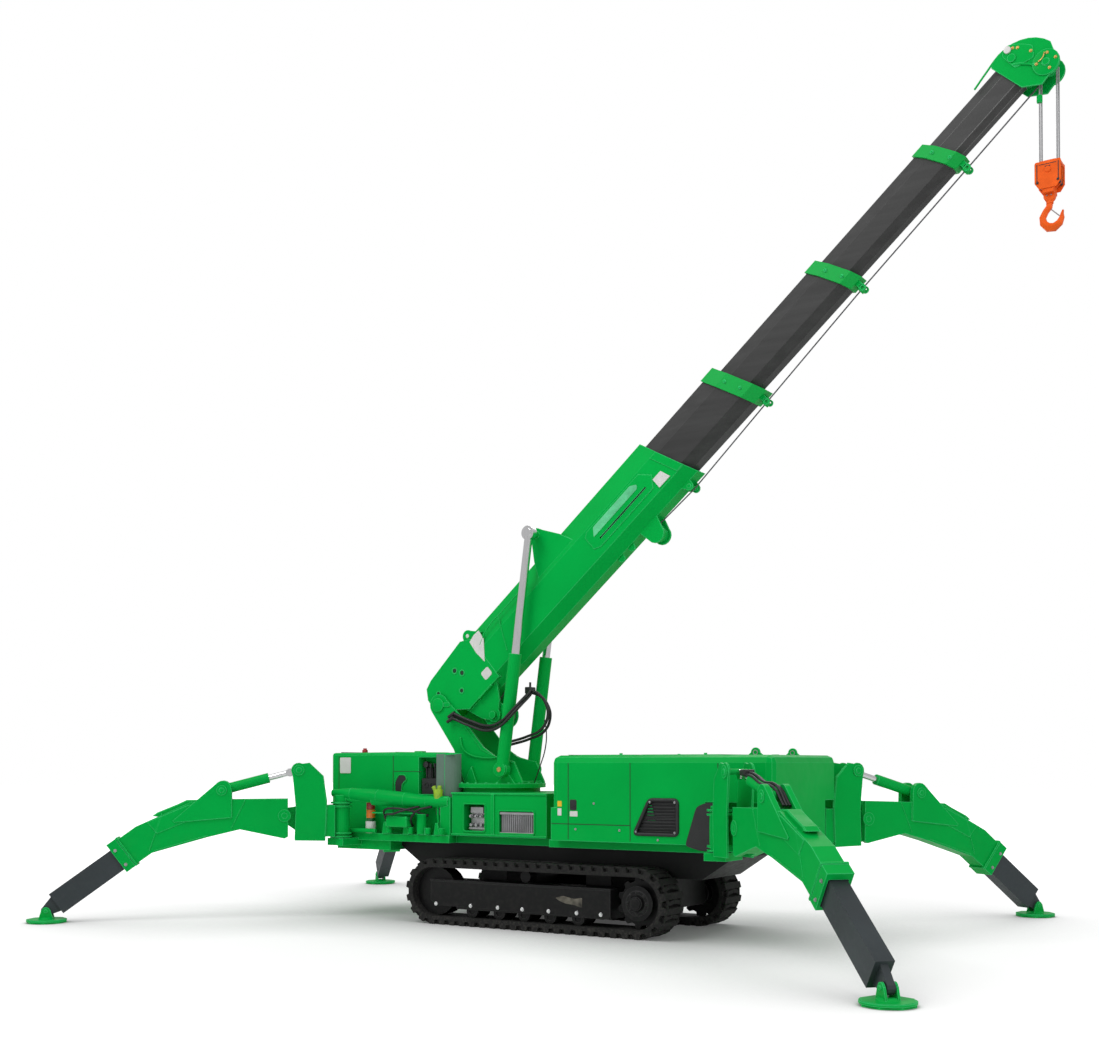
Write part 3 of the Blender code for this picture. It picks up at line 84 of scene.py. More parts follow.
def box_of(name):
    low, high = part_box(name)
    return MIDDLE.inverted() @ low, MIDDLE.inverted() @ high


def joint_line(name):
    return Vector(JOINTS[name]["axis"]).normalized()


def axes(origin, along, across):
    up = along.cross(across).normalized()
    turn = Matrix((along, across, up)).transposed().to_4x4()
    return Matrix.Translation(origin) @ turn


BOOM = axes(joint_place("boom_luff"), joint_line("telescope_2"), ACROSS)
BOOM_TURN = (MIDDLE @ BOOM).inverted()
TURRET = Matrix.Translation((joint_place("slew").x, 0, 0))

# Boom sizes along the boom from its foot pin
BASE_HALF_WIDTH = 0.143
BASE_END = 2.825
SLANT_RISE = 0.384
COLLARS = (
    # body, tip along the boom, collar length, collar half width, half height
    ("section_2", 3.61, 0.13, 0.14, 0.232),
    ("section_3", 4.64, 0.11, 0.1175, 0.1845),
    ("section_4", 5.655, 0.1, 0.101, 0.1595),
)
ROPE_GUIDES = ((3.628, -0.277), (4.649, -0.2295), (5.66, -0.2045))
BASE_SHEAVE = (2.36, -0.36, 0.055)
ROLLER = (2.8, -0.319)
WINCH = (0.338, -0.417, 0.085)
HEAD_PIN = (6.44, -0.15)
HEAD_TIP = 6.27

# Rope falls: half their spacing, their length, the steps of a bow, and how far up the block can be hoisted
FALL_X, FALL_Y = 0.055, 0.03
FALL_DROP = 0.7
FALL_STEPS = 6
HOIST_LIFT = 0.4

# Outrigger sizes in the arm's own axes
ARM_SLOPE = radians(36.0)
ARM_MOUTH = (1.329, -0.341)
ARM_HALF = 0.076
BRACKET_HALF = 0.097
EAR_PIN = (0.506, 0.216)
BRACKET_PIN = (0.353, 1.228)
LEG_DEPTH = 0.19
LEG_WIDTH = 0.116
PAD_DROP = 0.095


def leg_axes(name):
    post = joint_place(name + "_swing")
    pivot = joint_place(name + "_lift")
    slide = joint_line(name + "_extend")
    heading = (pivot - post)
    heading.z = 0
    heading.normalize()
    across = UP.cross(heading)
    dip = slide.dot(heading)
    tilt = Vector((dip, -slide.z)).angle_signed(Vector((1, 0)))
    lean = tilt - ARM_SLOPE
    along = heading * cos(lean) - UP * sin(lean)
    post.z = 0
    arm = axes(pivot, along, across)
    mouth = arm @ Vector((ARM_MOUTH[0], 0, ARM_MOUTH[1]))
    return {
        "swing": axes(post, heading, across), "arm": arm, "slide": axes(mouth, slide, across),
        "pad": axes(joint_place(name + "_pad_tilt"), heading, across),
    }


# Modelling

def start():
    if bpy.context.object and bpy.context.object.mode != "OBJECT":
        bpy.ops.object.mode_set(mode="OBJECT")
    bpy.ops.object.select_all(action="DESELECT")


def edit(choose="SELECT"):
    bpy.ops.object.mode_set(mode="EDIT")
    bpy.ops.mesh.select_mode(type="FACE")
    bpy.ops.mesh.select_all(action=choose)


def leave():
    bpy.ops.object.mode_set(mode="OBJECT")


def settle(frame=IDENTITY):
    item = bpy.context.object
    bpy.ops.object.transform_apply(location=True, rotation=True, scale=True)
    item.data.transform(frame)
    return item


def choose_faces(item, test):
    bpy.ops.object.mode_set(mode="OBJECT")
    for edge in item.data.edges:
        edge.select = False
    for corner in item.data.vertices:
        corner.select = False
    for face in item.data.polygons:
        face.select = test(face)
    bpy.ops.object.mode_set(mode="EDIT")


def block(low, high, frame=IDENTITY, edge=0.003, steps=2):
    """A box with its edges rounded."""
    start()
    low, high = Vector(low), Vector(high)
    bpy.ops.mesh.primitive_cube_add(size=1.0, location=(low + high) / 2)
    bpy.context.object.scale = high - low
    item = settle()
    edit()
    bpy.ops.mesh.bevel(offset=edge, segments=steps, affect="EDGES")
    leave()
    item.data.transform(frame)
    return item


def upright(place, line):
    """The place of a turned piece whose own height runs along a line."""
    return Matrix.Translation(place) @ line.to_track_quat("Z", "Y").to_matrix().to_4x4()


def bar(begin, end, radius, frame=IDENTITY, sides=20, edge=0.002, tip=None):
    """A turned bar with chamfered ends."""
    start()
    begin, end = Vector(begin), Vector(end)
    line = end - begin
    bpy.ops.mesh.primitive_cone_add(
        vertices=sides, radius1=radius, radius2=radius if tip is None else tip, depth=line.length,
    )
    item = bpy.context.object
    item.matrix_world = upright((begin + end) / 2, line)
    settle()
    choose_faces(item, lambda face: len(face.vertices) == sides)
    bpy.ops.mesh.bevel(offset=edge, segments=2, affect="EDGES")
    leave()
    item.data.transform(frame)
    smooth(item)
    return item


def cross_bar(x, z, begin, end, *shape, **more):
    """A bar that lies across the machine."""
    return bar((x, begin, z), (x, end, z), *shape, **more)


def ring(centre, line, outer, inner, depth, frame=IDENTITY, sides=28):
    """A flat ring, drilled through by insetting both ends and bridging them."""
    start()
    centre, line = Vector(centre), Vector(line).normalized()
    bpy.ops.mesh.primitive_cylinder_add(vertices=sides, radius=outer, depth=depth)
    item = bpy.context.object
    item.matrix_world = upright(centre, line)
    settle()
    choose_faces(item, lambda face: len(face.vertices) == sides)
    bpy.ops.mesh.inset(thickness=outer - inner)
    bpy.ops.mesh.bridge_edge_loops()
    leave()
    item.data.transform(frame)
    smooth(item)
    return item


def plate(points, low, high, frame=IDENTITY, plane="XZ", edge=0.002):
    """A plate cut to an outline, with its rims rounded."""
    start()
    bpy.ops.mesh.primitive_circle_add(vertices=len(points), radius=1.0, fill_type="NGON")
    item = bpy.context.object
    for corner, (u, v) in zip(item.data.vertices, points):
        corner.co = {"XZ": (u, low, v), "YZ": (low, u, v), "XY": (u, v, low)}[plane]
    shift = {"XZ": (0, high - low, 0), "YZ": (high - low, 0, 0), "XY": (0, 0, high - low)}[plane]
    edit()
    bpy.ops.mesh.extrude_region_move(TRANSFORM_OT_translate={"value": shift})
    bpy.ops.mesh.select_all(action="SELECT")
    bpy.ops.mesh.normals_make_consistent(inside=False)
    if edge:
        choose_faces(item, lambda face: len(face.vertices) == len(points))
        bpy.ops.mesh.bevel(offset=edge, segments=1, affect="EDGES")
    leave()
    item.data.transform(frame)
    return item


def span(side, first, last, face=0.0):
    """Two distances outwards from a face, lower one first."""
    return sorted((face + side * first, face + side * last))


def arc(centre, radius, begin, end, steps=8):
    return [
        (centre[0] + radius * cos(radians(begin + (end - begin) * i / steps)),
         centre[1] + radius * sin(radians(begin + (end - begin) * i / steps)))
        for i in range(steps + 1)
    ]


def rounded(low, high, radius):
    """A rectangle with round corners."""
    (x0, z0), (x1, z1) = low, high
    return (arc((x1 - radius, z1 - radius), radius, 0, 90, 3)
            + arc((x0 + radius, z1 - radius), radius, 90, 180, 3)
            + arc((x0 + radius, z0 + radius), radius, 180, 270, 3)
            + arc((x1 - radius, z0 + radius), radius, 270, 360, 3))


def softened(points, radius, steps=4):
    """An outline with its corners rounded."""
    soft = []
    for before, corner, after in zip((points[-1], *points), points, (*points[1:], points[0])):
        corner = Vector(corner)
        first = corner + (Vector(before) - corner).normalized() * radius
        last = corner + (Vector(after) - corner).normalized() * radius
        for i in range(steps + 1):
            share = i / steps
            soft.append(tuple(first.lerp(corner, share).lerp(corner.lerp(last, share), share)))
    return soft


def hose(points, radius, frame=IDENTITY, curved=True, sides=3):
    """A hose or rope swept along a line through the points."""
    start()
    curve = bpy.data.curves.new("line", "CURVE")
    curve.dimensions = "3D"
    curve.bevel_depth = radius
    curve.bevel_resolution = sides
    curve.use_fill_caps = True
    if curved:
        spline = curve.splines.new("BEZIER")
        spline.bezier_points.add(len(points) - 1)
        for knot, point in zip(spline.bezier_points, points):
            knot.co = point
            knot.handle_left_type = knot.handle_right_type = "AUTO"
        spline.resolution_u = 8
    else:
        spline = curve.splines.new("POLY")
        spline.points.add(len(points) - 1)
        for knot, point in zip(spline.points, points):
            knot.co = (*point, 1.0)
    item = stand(curve)
    bpy.context.view_layer.objects.active = item
    item.select_set(True)
    bpy.ops.object.convert(target="MESH")
    item = bpy.context.object
    item.data.transform(frame)
    item.data.shade_smooth()
    return item


def smooth(item, angle=34):
    item.data.shade_smooth()
    item.data.set_sharp_from_angle(angle=radians(angle))


def bolt(size=0.012):
    """A hexagon head on its washer, pointing along +Z."""
    start()
    bpy.ops.mesh.primitive_cylinder_add(vertices=12, radius=size * 1.35, depth=size * 0.3,
                                        location=(0, 0, size * 0.15))
    item = settle()
    edit("DESELECT")
    bpy.ops.mesh.primitive_cylinder_add(vertices=6, radius=size, depth=size * 0.8,
                                        location=(0, 0, size * 0.7))
    bpy.ops.mesh.bevel(offset=size * 0.12, segments=1, affect="EDGES")
    leave()
    return item


def stand(data):
    item = bpy.data.objects.new("copy", data)
    bpy.context.scene.collection.objects.link(item)
    return item


def spread(template, places, frame=IDENTITY):
    """Copies of one small piece, each with its own mesh; a place is a point and the way it faces."""
    copies = []
    for point, way in places:
        mesh = template.data.copy()
        turn = Vector(way).to_track_quat("Z", "Y").to_matrix().to_4x4()
        mesh.transform(frame @ Matrix.Translation(point) @ turn)
        copies.append(stand(mesh))
    bpy.data.objects.remove(template)
    return copies


def gather(name, items, look, body="chassis"):
    """Joins loose items into one named piece with a finish, which rides on a body."""
    start()
    for item in items:
        item.select_set(True)
    bpy.context.view_layer.objects.active = items[0]
    if len(items) > 1:
        bpy.ops.object.join()
    piece = bpy.context.object
    piece.name = name
    piece.data.name = name
    piece.data.materials.clear()
    piece.data.materials.append(MATERIALS[look])
    piece.data.transform(MIDDLE)
    if body:
        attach(piece, body)
    return piece


def stretch(piece):
    """Bakes a piece's placing into its mesh."""
    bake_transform(piece)


# Finishes

def put(tree, socket, value):
    """Links an output to an input socket, or sets the input to a plain value."""
    if isinstance(value, bpy.types.NodeSocket):
        tree.links.new(value, socket)
    else:
        socket.default_value = value


def node(tree, kind, *inputs, **values):
    """A node with its settings and named inputs, and its first inputs in order, each linked or set."""
    item = tree.nodes.new(kind)
    for key, value in values.items():
        if hasattr(item, key):
            setattr(item, key, value)
        else:
            put(tree, item.inputs[key.replace("_", " ")], value)
    for socket, value in zip(item.inputs, inputs):
        put(tree, socket, value)
    return item


def noise(tree, coords, scale, detail=4.0, rough=0.5):
    return node(tree, "ShaderNodeTexNoise", Vector=coords, Scale=scale, Detail=detail,
                Roughness=rough).outputs["Fac"]


def spreaded(tree, value, low, high, source=(0.3, 0.7)):
    """Maps the source range of a value onto low and high."""
    return node(tree, "ShaderNodeMapRange", Value=value, From_Min=source[0], From_Max=source[1],
                To_Min=low, To_Max=high).outputs["Result"]


def mixed(tree, fac, first, second):
    item = node(tree, "ShaderNodeMix", data_type="RGBA", Factor=fac)
    for socket, value in zip([s for s in item.inputs if s.type == "RGBA"], (first, second)):
        put(tree, socket, value)
    return [s for s in item.outputs if s.type == "RGBA"][0]


def shade(colour, factor):
    return (*[min(1.0, part * factor) for part in colour[:3]], 1.0)


def finish(name, colour, rough, metal=0.0, mottle=0.1, cloud=2.5, grain=220.0, bump=0.04, coat=0.0,
           dust=0.0, edge=0.004, marks=None, shine=0.5, band=None, rim=None):
    """A painted, rubber or metal surface with its mottling, grain, worn gloss and dust near the ground, and
    a painted highlight along its edges where a rim colour is given.
    """
    material = bpy.data.materials.new(name)
    material.use_nodes = True
    tree = material.node_tree
    place = coords = node(tree, "ShaderNodeTexCoord").outputs["Object"]
    if marks:
        coords = node(tree, "ShaderNodeMapping", Vector=place, Rotation=(0, marks[3], 0),
                      Scale=marks[:3]).outputs["Vector"]
    broad, fine = noise(tree, coords, cloud), noise(tree, coords, cloud * 9)
    colours = mixed(tree, spreaded(tree, broad, 0, 1), shade(colour, 1 - mottle), shade(colour, 1 + mottle))
    if dust:
        height = node(tree, "ShaderNodeSeparateXYZ", Vector=place).outputs["Z"]
        amount = node(tree, "ShaderNodeMath", spreaded(tree, height, dust, 0.0, (0.0, 0.9)),
                      spreaded(tree, fine, 0.0, 1.0, (0.45, 0.7)), operation="MULTIPLY")
        colours = mixed(tree, amount.outputs["Value"], colours, DUST)
    if band:
        colours = banded(tree, colours, *band)
    # A rim colour is a painted highlight along the rounded edges.
    if rim:
        colours = painted_edge_highlight(tree, colours, rim)
    relief = node(tree, "ShaderNodeBump", Strength=bump, Distance=0.002,
                  Height=noise(tree, coords, grain, 2.0))
    if edge:
        soften = node(tree, "ShaderNodeBevel", samples=4, Radius=edge)
        put(tree, relief.inputs["Normal"], soften.outputs["Normal"])
    shader = tree.nodes["Principled BSDF"]
    for key, value in (
        ("Metallic", metal), ("Coat Weight", coat), ("Coat Roughness", 0.12), ("Specular IOR Level", shine),
        ("Base Color", colours), ("Roughness", spreaded(tree, fine, rough - 0.05, rough + 0.08)),
        ("Normal", relief.outputs["Normal"]),
    ):
        put(tree, shader.inputs[key], value)
    return material


def painted_edge_highlight(tree, colours, light, reach=0.008):
    """Paints a highlight along the edges of a shape, lightening the colour where the shape is rounded."""
    soft = node(tree, "ShaderNodeBevel", samples=6, Radius=reach).outputs["Normal"]
    true = node(tree, "ShaderNodeNewGeometry").outputs["Normal"]
    match = node(tree, "ShaderNodeVectorMath", soft, true, operation="DOT_PRODUCT").outputs["Value"]
    return mixed(tree, spreaded(tree, match, 0.0, 1.0, (0.997, 0.93)), colours, light)


def banded(tree, colours, paint, begin):
    """Paints a slanted collar, from a place along the boom to the section's end."""
    place = node(tree, "ShaderNodeTexCoord").outputs["Object"]
    turn = node(tree, "ShaderNodeMapping", Vector=place, Location=BOOM_TURN.translation,
                Rotation=BOOM_TURN.to_euler())
    split = node(tree, "ShaderNodeSeparateXYZ", Vector=turn.outputs["Vector"])
    lean = node(tree, "ShaderNodeMath", split.outputs["Z"], SLANT_RISE, split.outputs["X"],
                operation="MULTIPLY_ADD")
    inside = node(tree, "ShaderNodeMath", lean.outputs["Value"], begin, operation="GREATER_THAN")
    return mixed(tree, inside.outputs["Value"], colours, paint)


def rope_finish(name, colour):
    """Twisted steel wire, with its strands wound round the line of the rope."""
    material = finish(name, colour, 0.38, 0.85, 0.15, 30.0, 300.0, 0.2, edge=0)
    tree = material.node_tree
    place = node(tree, "ShaderNodeTexCoord").outputs["Object"]
    wave = node(tree, "ShaderNodeTexWave", Vector=place, Scale=60.0, Distortion=0.6)
    relief = node(tree, "ShaderNodeBump", Strength=0.8, Distance=0.002, Height=wave.outputs["Fac"])
    put(tree, tree.nodes["Principled BSDF"].inputs["Normal"], relief.outputs["Normal"])
    return material


DUST = (0.24, 0.22, 0.19, 1.0)
WHITE = (1.0, 1.0, 1.0, 1.0)
# Stretch of a grain along X, Y and Z, and its turn about Y
BOOM_GRAIN = (0.6, 9.0, 9.0, radians(41.2))
GROUND_GRAIN = (40.0, 40.0, 1.0, 0.0)
MATERIALS = {}


def make_finishes(paint):
    """All finishes, by the name that the pieces use."""
    lens = dict(rough=0.16, cloud=25.0, grain=120.0, bump=0.05, coat=0.5, edge=0)
    MATERIALS.update(
        # The rim colours of the green, black and boom finishes are painted highlights along the edges.
        green=finish("green_paint", paint.green, 0.34, 0.0, 0.07, 1.6, 240.0, 0.03, dust=0.04, shine=0.05,
                     rim=(0.06, 0.66, 0.22, 1.0)),
        black=finish("black_paint", paint.black, 0.46, 0.0, 0.25, 3.0, 160.0, 0.08, dust=0.04, shine=0.25,
                     rim=(0.035, 0.035, 0.035, 1.0)),
        rubber=finish("track_rubber", paint.rubber, 0.78, 0.0, 0.25, 6.0, 120.0, 0.35, dust=0.12, shine=0.3),
        boom=finish("boom_paint", paint.boom, 0.38, 0.0, 0.14, 2.0, 90.0, 0.06, marks=BOOM_GRAIN, shine=0.35,
                    rim=(0.3, 0.3, 0.3, 1.0)),
        leg=finish("leg_paint", paint.leg, 0.42, 0.0, 0.12, 3.0, 160.0, 0.06, dust=0.04, shine=0.3),
        orange=finish("orange_paint", paint.orange, 0.38, 0.0, 0.12, 14.0, 260.0, 0.06, edge=0.003,
                      shine=0.12),
        chrome=finish("chrome", (0.78, 0.78, 0.79), 0.16, 1.0, 0.08, 4.0, 30.0, 0.05, marks=GROUND_GRAIN,
                      edge=0.002),
        steel=finish("bare_steel", (0.42, 0.42, 0.43), 0.38, 0.85, 0.16, 9.0, 200.0, 0.12, edge=0.002),
        brass=finish("brass", (0.7, 0.48, 0.16), 0.3, 1.0, 0.1, 12.0, 200.0, 0.05, edge=0.002),
        hose=finish("hose_rubber", (0.014, 0.014, 0.015), 0.46, 0.0, 0.2, 20.0, 400.0, 0.25, edge=0),
        # The pale panel colour is partly a blank label and partly a painted sheen.
        pale=finish("pale_panel", (0.12, 0.56, 0.27), 0.4, 0.0, 0.25, 9.0, 200.0, 0.05, edge=0, shine=0.2),
        worn=finish("worn_paint", (0.105, 0.095, 0.075), 0.7, 0.0, 0.75, 16.0, 200.0, 0.1, edge=0),
        seam=finish("seam_shadow", (0.002, 0.04, 0.012), 0.6, 0.0, 0.15, 8.0, 200.0, 0.05, edge=0),
        dark=finish("dark_plastic", (0.016, 0.017, 0.018), 0.5, 0.0, 0.15, 12.0, 300.0, 0.15, edge=0.002),
        red=finish("red_lens", (0.42, 0.01, 0.012), **lens),
        amber=finish("amber_lens", (0.86, 0.23, 0.01), **lens),
        lens=finish("green_lens", (0.004, 0.16, 0.035), **lens),
        white=finish("white_plastic", (0.72, 0.72, 0.7), 0.36, 0.0, 0.05, 14.0, 200.0, edge=0.002),
        yellow=finish("yellow_plate", (0.86, 0.52, 0.015), 0.34, 0.0, 0.06, 14.0, 200.0, edge=0),
        grey=finish("grey_panel", (0.12, 0.205, 0.16), 0.34, 0.0, 0.1, 5.0, 200.0, coat=0.2),
        lever=finish("lever_knob", (0.3, 0.5, 0.02), 0.36, 0.0, 0.2, 16.0, 200.0, 0.05, 0.2, edge=0),
        fall=finish("fall_rope", (0.3, 0.3, 0.31), 0.4, 0.3, 0.1, 40.0, 300.0, 0.2, edge=0),
        rope=rope_finish("wire_rope", (0.16, 0.16, 0.17)),
    )
    for body, tip, length, *_ in COLLARS:
        MATERIALS[body] = finish(body + "_paint", paint.boom, 0.38, 0.0, 0.14, 2.0, 90.0, 0.06,
                                 marks=BOOM_GRAIN, shine=0.2,
                                 band=(tuple(paint.green), tip - length - 0.001))


NODE_FINISHES = (
    # start of a node's name, finish
    ("near_track_frame", "black"), ("far_track_frame", "black"), ("near_sprocket", "black"),
    ("far_sprocket", "black"), ("near_track", "rubber"), ("far_track", "rubber"), ("chassis_frame", "black"),
    ("grille", "dark"), ("control_console", "dark"), ("valve_block", "steel"), ("oil_cooler", "steel"),
    ("engine", "steel"), ("boom_section", "boom"), ("hoist_rope", "fall"), ("hook", "orange"),
    ("near_luff_rod", "chrome"), ("far_luff_rod", "chrome"), ("lamp_tower", "red"),
)


def paint_nodes():
    for name, item in NODES.items():
        key = "green"
        for beginning, value in NODE_FINISHES:
            if name.startswith(beginning) and name != "engine_hood":
                key = value
                break
        if name.endswith("_leg"):
            key = "leg"
        if name.endswith("_jack_rod"):
            key = "chrome"
        if not item.material_slots:
            item.data.materials.append(MATERIALS[key])
        if name.startswith("boom_section"):
            key = name.replace("boom_", "") if name.replace("boom_", "") in MATERIALS else "boom"
        for slot in item.material_slots:
            slot.material = MATERIALS[key]


# Hood

HOOD_LOW, HOOD_HIGH = box_of("engine_hood")
HOOD_SEAMS = (0.335, 0.87, 1.58)
HOOD_SILL = 0.828
GRILLE = ((0.905, 0.768), (1.26, 0.768), (1.26, 1.02), (1.03, 1.02))


def seam_line(low, high):
    """A thin dark line between two panels."""
    return block(low, high, edge=0.0005, steps=1)


def dress_hood(sizes):
    items = []
    near, far = HOOD_LOW.y, HOOD_HIGH.y
    top, low = HOOD_HIGH.z, HOOD_LOW.z
    half = sizes.seam / 2
    seams = []
    for side, face in ((-1, near), (1, far)):
        lower, upper = span(side, -0.004, PROUD, face)
        for x in HOOD_SEAMS:
            seams.append(seam_line((x - half, lower, low + 0.012), (x + half, upper, top - 0.058)))
        seams.append(seam_line((HOOD_LOW.x + 0.004, lower, HOOD_SILL - half),
                           (HOOD_SEAMS[1], upper, HOOD_SILL + half)))
    for x in HOOD_SEAMS:
        seams.append(seam_line((x - half, near + 0.058, top - 0.004), (x + half, far - 0.058, top + PROUD)))
    gather("hood_seams", seams, "seam")
    for left, right in zip((HOOD_LOW.x + 0.06, *HOOD_SEAMS[:2]), HOOD_SEAMS):
        items.append(plate(rounded((left + 0.025, near + 0.1), (right - 0.025, far - 0.1), 0.03),
                           top - 0.002, top + 0.005, plane="XY"))
    ear = [(1.69, top - 0.004), (1.815, top - 0.004), *arc((1.7525, top + 0.018), 0.036, 0, 180, 8)]
    items.append(plate(ear, -0.345, -0.331))
    items.append(plate(ear, 0.331, 0.345))
    for x in (0.72, 1.42):
        for y in (-0.47, 0.47):
            items.append(bar((x, y, top - 0.002), (x, y, top + 0.016), 0.012))
    for x in (0.95, 1.25, 1.53):
        items.append(bar((x - 0.03, far - 0.075, top + 0.002), (x + 0.03, far - 0.075, top + 0.002), 0.007,
                         sides=12))
    gather("hood_trim", items, "green")
    eyes = [ring((1.7525, y, top + 0.018), ACROSS, 0.02, 0.013, 0.016) for y in (-0.338, 0.338)]
    gather("hood_eye_bushes", eyes, "steel")
    dark, pale = [], []
    for side, face in ((-1, near), (1, far)):
        x, z = 0.379, 0.972
        dark.append(plate(rounded((x - 0.03, z - 0.04), (x + 0.03, z + 0.04), 0.012),
                          *span(side, -0.004, 0.003, face)))
        out = face + side * 0.006
        dark.append(bar((x - 0.018, out, z - 0.01), (x + 0.018, out, z - 0.01), 0.005, sides=10))
        lower, upper = span(side, -0.004, 0.001, face)
        pale.append(plate(rounded((0.35, 0.885), (0.418, 0.925), 0.004), lower, upper, edge=0))
        # The notch plate is painted shade: a dark sheet where the hood's cut-out lies in shadow.
        notch = softened([(1.32, 0.694), (1.44, 0.662), (1.6, 0.662), (1.6, 1.005), (1.485, 1.005),
                          (1.41, 0.975)], 0.03)
        dark.append(plate(notch, *span(side, -0.004, 0.002, face), edge=0))
    gather("hood_latches", dark, "dark")
    lower, upper = near - 0.001, near + 0.004
    pale.append(plate(rounded((0.24, 0.89), (0.275, 0.945), 0.003), lower, upper, edge=0))
    gather("hood_plates", pale, "white")
    yellow = [plate(rounded((0.24, 0.958), (0.277, 1.0), 0.003), lower, upper, edge=0)]
    gather("hood_plate_yellow", yellow, "yellow")
    screws = [((x, face, z), (0, side, 0)) for side, face in ((-1, near), (1, far))
              for x, z in ((0.4, 0.79), (0.78, 0.79), (1.1, 0.728), (0.56, 0.985))]
    gather("hood_screws", spread(bolt(0.007), screws), "steel")


def dress_grille():
    """A thick rounded frame with corner screws and a few ribs behind it."""
    face = HOOD_LOW.y
    loop = softened(GRILLE, 0.03)
    line = [(x, face, z) for x, z in (*loop, loop[0])]
    gather("grille_frame", [hose(line, 0.014, curved=False)], "dark")
    ribs, glints = [], []
    for index in range(11):
        z = GRILLE[0][1] + 0.022 * (index + 1)
        left = GRILLE[0][0] + 0.125 * (z - GRILLE[0][1]) / 0.252 + 0.02
        ribs.append(bar((left, face + 0.008, z), (GRILLE[1][0] - 0.015, face + 0.008, z), 0.0035, sides=8))
        if 2 < index < 9:
            glints.append(block((1.005, face + 0.014, z + 0.005),
                                (1.075 - 0.006 * (index - 3), face + 0.017, z + 0.014)))
    gather("grille_ribs", ribs, "dark")
    gather("grille_inner_ribs", glints, "green")
    places = [((x, face - 0.012, z), (0, -1, 0))
              for x, z in ((0.925, 0.785), (1.243, 0.785), (1.243, 1.003), (1.04, 1.003))]
    gather("grille_screws", spread(bolt(0.007), places), "steel")


def dress_lamp():
    low, high = box_of("lamp_tower")
    x, y = (low.x + high.x) / 2, (low.y + high.y) / 2
    base, rise = low.z, high.z - low.z
    levels = (("white", 0.0, 0.36, 0.044), ("lens", 0.37, 0.45, 0.037), ("amber", 0.46, 0.72, 0.037),
              ("red", 0.73, 0.97, 0.037))
    for colour, first, last, radius in levels:
        items = [bar((x, y, base + rise * first), (x, y, base + rise * last), radius, sides=24)]
        level = base + rise * first + 0.008
        while level < base + rise * last and colour != "white":
            items.append(ring((x, y, level), UP, radius + 0.0022, radius - 0.004, 0.004, sides=24))
            level += 0.012
        if colour == "red":
            items.append(bar((x, y, high.z - 0.01), (x, y, high.z), 0.026, sides=24))
        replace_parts(gather("lamp_" + colour, items, colour), "lamp_tower")


def dress_cover():
    low, high = box_of("control_cover")
    items, seams, dark = [], [], []
    for side, face in ((-1, low.y), (1, high.y)):
        lower, upper = span(side, -0.004, PROUD, face)
        for x in (-2.12, -1.52):
            seams.append(seam_line((x - 0.003, lower, low.z + 0.02), (x + 0.003, upper, high.z - 0.03)))
        seams.append(seam_line((-1.515, lower, 1.215), (-1.22, upper, 1.22)))
        lower, upper = span(side, -0.004, 0.003, face)
        grip = [(-1.5, 1.13), (-1.46, 1.19), (-1.39, 1.19), (-1.37, 1.15), (-1.42, 1.11), (-1.43, 1.0),
                (-1.49, 0.97)]
        dark.append(plate(softened(grip, 0.014), lower, upper))
        items.append(hose([(x, face + side * 0.003, z) for x, z in softened(grip, 0.02)], 0.006))
    for x in (-2.12, -1.52):
        seams.append(seam_line((x - 0.003, low.y + 0.03, high.z - 0.004),
                               (x + 0.003, high.y - 0.03, high.z + PROUD)))
    gather("cover_seams", seams, "seam")
    gather("cover_hand_hold", dark, "dark")
    items.append(bar((-1.6, 0.1, high.z - 0.002), (-1.6, 0.1, high.z + 0.012), 0.03))
    items.append(bar((-1.32, -0.36, high.z - 0.004), (-1.24, -0.36, high.z - 0.004), 0.012))
    gather("cover_panels", items, "green")
    knob = [bar((-1.88, -0.34, high.z - 0.004), (-1.88, -0.34, high.z + 0.02), 0.024),
            bar((-1.88, -0.34, high.z + 0.018), (-1.88, -0.34, high.z + 0.034), 0.016)]
    gather("cover_stop_knob", knob, "red")
    face = (low.y - 0.005, low.y - 0.001)
    gather("cover_plate", [plate(rounded((-2.105, 1.2), (-1.985, 1.335), 0.01), *face, edge=0)],
           "white")
    outer = arc((-1.035, -0.265), 0.145, -100, -10, 10)
    inner = arc((-1.035, -0.265), 0.13, -10, -100, 10)
    gather("cover_end_panel", [plate([*outer, *inner], 0.86, 1.362, plane="XY")], "grey")
    console = box_of("control_console")[0].y
    gauge = [ring((x, console - 0.001, 1.105), ACROSS, 0.022, 0.015, 0.01) for x in (-1.185, -1.125)]
    gauge.append(cross_bar(-1.2, 1.275, -0.372, -0.33, 0.026))
    gauge.append(block((-1.215, -0.345, 1.16), (-1.145, -0.31, 1.25)))
    gather("console_gauges", gauge, "dark")
    gather("work_lever", [hose([(-1.0, -0.455, 0.8), (-1.003, -0.46, 0.9), (-0.995, -0.465, 0.98)], 0.011)],
           "green")
    top = [bar((-0.998, -0.465, 0.93), (-0.996, -0.465, 0.985), 0.02, tip=0.034, edge=0.006),
           bar((-0.996, -0.465, 0.985), (-0.998, -0.465, 1.075), 0.034, tip=0.04, edge=0.012),
           bar((-1.02, -0.47, 1.06), (-1.04, -0.474, 1.098), 0.018, edge=0.006),
           bar((-0.985, -0.468, 1.062), (-0.978, -0.47, 1.104), 0.018, edge=0.006)]
    gather("work_lever_head", top, "lever")


